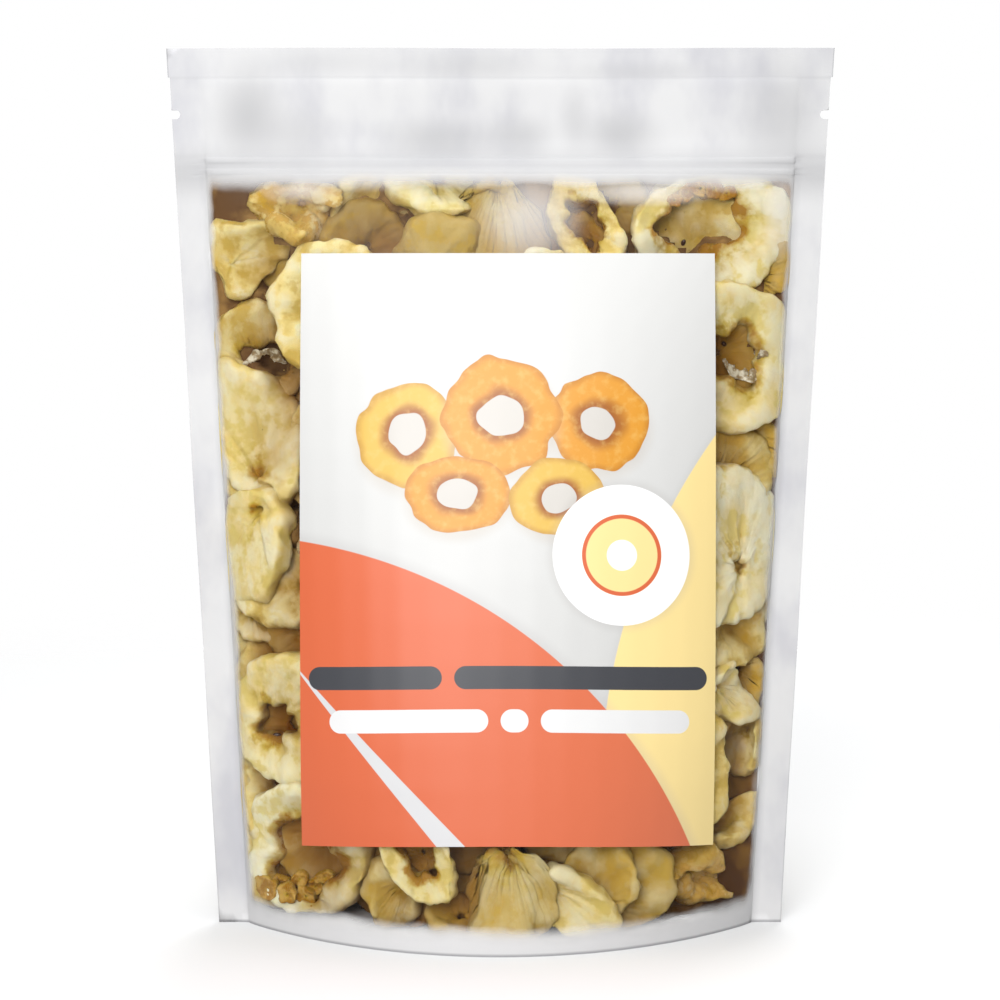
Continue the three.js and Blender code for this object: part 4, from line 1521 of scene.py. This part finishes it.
def drawn_bar(tree, place, left, right, middle, height):
    """Mask of a bar with round ends."""
    reach = (right - left - height) / 2
    axes = parted(tree, vector_calc(tree, "SUBTRACT", place, ((left + right) / 2, middle, 0)))
    beyond = calc(tree, "SUBTRACT", calc(tree, "ABSOLUTE", axes["X"]), reach)
    beyond = calc(tree, "MAXIMUM", beyond, 0.0)
    off = node(tree, "ShaderNodeCombineXYZ", {0: beyond, 1: axes["Y"]})
    distance = vector_calc(tree, "LENGTH", off.outputs[0])
    return ramp(tree, distance, height / 2 + 0.1, height / 2 - 0.1)


# Simple drawn rings: middle across and up, size, squash, turn, share of the hole, colour
DRAWN_RINGS = [
    (36, 133, 17, 1.0, 0, 0.36, RING_PALE),
    (98, 137, 17, 1.1, 20, 0.34, RING_GOLD),
    (66, 139, 19, 1.0, 60, 0.34, RING_GOLD),
    (52, 114, 17, 1.35, 8, 0.38, RING_GOLD),
    (85, 113, 16, 1.3, -10, 0.36, RING_PALE),
]


def with_drawn_ring(tree, paper, place, x, y, size, squash, turn, hole, colour):
    """Paints one ring over what the sheet already shows."""
    distance = from_point(tree, place, x, y, (1, squash, 1), turn)
    waver = noise_at(tree, place, 0.09, 1.0)
    distance = calc(tree, "MULTIPLY_ADD", waver, -6.0, calc(tree, "ADD", distance, 3.0))
    outside = ramp(tree, distance, size + 0.15, size - 0.15)
    inside = ramp(tree, distance, size * hole - 0.15, size * hole + 0.15)
    shade = mixed(tree, ramp(tree, distance, size * hole + 4.5, size * hole), colour, RING_DEEP)
    shade = mixed(tree, ramp(tree, distance, size - 3.0, size + 0.5, 0, 0.5), shade, RING_DEEP)
    fibres = noise_at(tree, place, 0.35, 3.0)
    shade = mixed(tree, ramp(tree, fibres, 0.45, 0.75, 0, 0.35), shade, RING_FIBRE)
    below = from_point(tree, place, x, y - 2.5, (1, squash, 1), turn)
    paper = mixed(tree, ramp(tree, below, size + 3, size - 3, 0, 0.35), paper, UNDER_RING)
    return mixed(tree, calc(tree, "MULTIPLY", outside, inside), paper, shade)


# Large circles whose arcs part the fields, and the badge: middle across and up (mm). Each edge
# is a ramp less than half a millimetre wide, and its shadow a wider one just outside it.
YELLOW_FIELD = (285, 20)
ORANGE_HILL = (-25, -66.5)
BADGE = (105.4, 94.5)
# Bars: left and right end, and middle height (mm), then their colour
BAR_HEIGHT = 7.5
BARS = [(3, 47, 55, INK), (51, 134, 55, INK),
        (10, 62, 41, BAR_WHITE), (66, 75, 41, BAR_WHITE), (79, 128, 41, BAR_WHITE)]


def label_material():
    """The print, laid over the paper from the back forward: one field, shadow or shape a line."""
    made, tree, shader = material("label_print")
    across = node(tree, "ShaderNodeUVMap", uv_map="UVMap").outputs[0]
    place = vector_calc(tree, "MULTIPLY", across, LABEL_SIZE)
    axes = parted(tree, place)
    print_colour = mixed(tree, ramp(tree, axes["Y"], 150, 40), PAPER_TOP, PAPER_FOOT)
    for drawn in DRAWN_RINGS:
        print_colour = with_drawn_ring(tree, print_colour, place, *drawn)
    right_edge = from_point(tree, place, *YELLOW_FIELD)
    print_colour = mixed(tree, ramp(tree, right_edge, 189, 186.4, 0, 0.18), print_colour, UNDER_YELLOW)
    print_colour = mixed(tree, ramp(tree, right_edge, 186.6, 186.2), print_colour, YELLOW)
    hill = from_point(tree, place, *ORANGE_HILL)
    print_colour = mixed(tree, ramp(tree, hill, 172, 167.5, 0, 0.22), print_colour, UNDER_HILL)
    orange = mixed(tree, ramp(tree, axes["X"], 20, 130), ORANGE, ORANGE_LIT)
    print_colour = mixed(tree, ramp(tree, hill, 167.8, 167.4), print_colour, orange)
    fall = calc(tree, "MULTIPLY_ADD", axes["Y"], 45.2 / 56.3, axes["X"])
    rise = calc(tree, "MULTIPLY_ADD", axes["Y"], 54.5 / 57.3, axes["X"])
    ray = calc(tree, "MULTIPLY", ramp(tree, fall, 45.0, 45.4), ramp(tree, rise, 54.7, 54.3))
    print_colour = mixed(tree, ray, print_colour, RAY_WHITE)
    badge = from_point(tree, place, *BADGE)
    print_colour = mixed(tree, ramp(tree, badge, 26, 21, 0, 0.3), print_colour, UNDER_BADGE)
    print_colour = mixed(tree, ramp(tree, badge, 22.7, 22.4), print_colour, BADGE_WHITE)
    motif = calc(tree, "MULTIPLY", ramp(tree, badge, 13.2, 12.9), ramp(tree, badge, 4.8, 5.1))
    print_colour = mixed(tree, motif, print_colour, YELLOW)
    outline = calc(tree, "MULTIPLY", motif, ramp(tree, badge, 11.6, 11.9))
    print_colour = mixed(tree, outline, print_colour, ORANGE)
    for left, right, middle, colour in BARS:
        bar = drawn_bar(tree, place, left, right, middle, BAR_HEIGHT)
        print_colour = mixed(tree, bar, print_colour, colour)
    tree.links.new(print_colour, shader.inputs["Base Color"])
    shader.inputs["Roughness"].default_value = 0.42
    return made


label.data.materials.append(label_material())
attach(label, "root")
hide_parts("label")

# %% [markdown]
# The photograph has a white ground that runs into a white background, soft light from all
# round and a little more from the front and above. The world is white to the camera and
# greyer to the light it gives, and the ground fades out before its edge shows. One light
# behind the pouch is there for looking at its back.

# %% Light and ground
MIDDLE = (0, 0, POUCH_HEIGHT / 2)
# name, place, what it points at, size (m) and power (W)
LIGHTS = [
    ("overhead", (0, -0.1, 1.9), (0, 0, 0), 1.6, 29.5),
    ("key", (-0.15, -1.25, 0.75), (0, 0, 0.12), 0.8, 13.3),
    ("fill", (-0.35, -1.3, 0.25), (-0.02, 0, 0.06), 0.8, 7.8),
    ("back_key", (0.35, 1.3, 0.9), MIDDLE, 1.2, 13),
]
# How bright the world is to the camera, and as a light
WORLD_SEEN, WORLD_GIVEN = 1.0, 0.2
FLOOR_RADIUS = 3
# How far out the ground is solid and where it has faded (m)
FLOOR_SOLID, FLOOR_GONE = 0.35, 0.9
# The ground's colour to the light that bounces, and to the camera
FLOOR_GIVEN, FLOOR_SEEN = (0.45, 0.45, 0.45), (0.74, 0.745, 0.75)


def area_light(name, place, target, size, power):
    """A round soft light at a place, turned toward a target."""
    data = bpy.data.lights.new(name, "AREA")
    data.shape = "DISK"
    data.size = size
    data.energy = power
    made = bpy.data.objects.new(name, data)
    made.location = place
    made.rotation_euler = (Vector(target) - Vector(place)).to_track_quat("-Z", "Y").to_euler()
    bpy.context.scene.collection.objects.link(made)


for light in LIGHTS:
    area_light(*light)

world = bpy.data.worlds.new("studio")
bpy.context.scene.world = world
world.use_nodes = True
sky = world.node_tree
sky.nodes.clear()
seen = node(sky, "ShaderNodeBackground", {"Color": (1, 1, 1, 1), "Strength": WORLD_SEEN})
given_light = node(sky, "ShaderNodeBackground", {"Color": (1, 1, 1, 1), "Strength": WORLD_GIVEN})
to_camera = node(sky, "ShaderNodeLightPath").outputs["Is Camera Ray"]
either = node(sky, "ShaderNodeMixShader", {0: to_camera, 1: given_light.outputs[0], 2: seen.outputs[0]})
node(sky, "ShaderNodeOutputWorld", {0: either.outputs[0]})

bpy.ops.object.select_all(action="DESELECT")
bpy.ops.mesh.primitive_circle_add(vertices=128, radius=FLOOR_RADIUS, fill_type="NGON")
floor = bpy.context.object
floor.name = "floor"
floor_finish, tree, shader = material("floor_finish")
from_middle = vector_calc(tree, "LENGTH", object_place(tree))
tree.links.new(ramp(tree, from_middle, FLOOR_GONE, FLOOR_SOLID), shader.inputs["Alpha"])
seen_directly = node(tree, "ShaderNodeLightPath").outputs["Is Camera Ray"]
tree.links.new(mixed(tree, seen_directly, FLOOR_GIVEN, FLOOR_SEEN), shader.inputs["Base Color"])
shader.inputs["Roughness"].default_value = 0.9
shader.inputs["Specular IOR Level"].default_value = 0.0
floor.data.materials.append(floor_finish)

bpy.context.scene.view_settings.view_transform = "Standard"
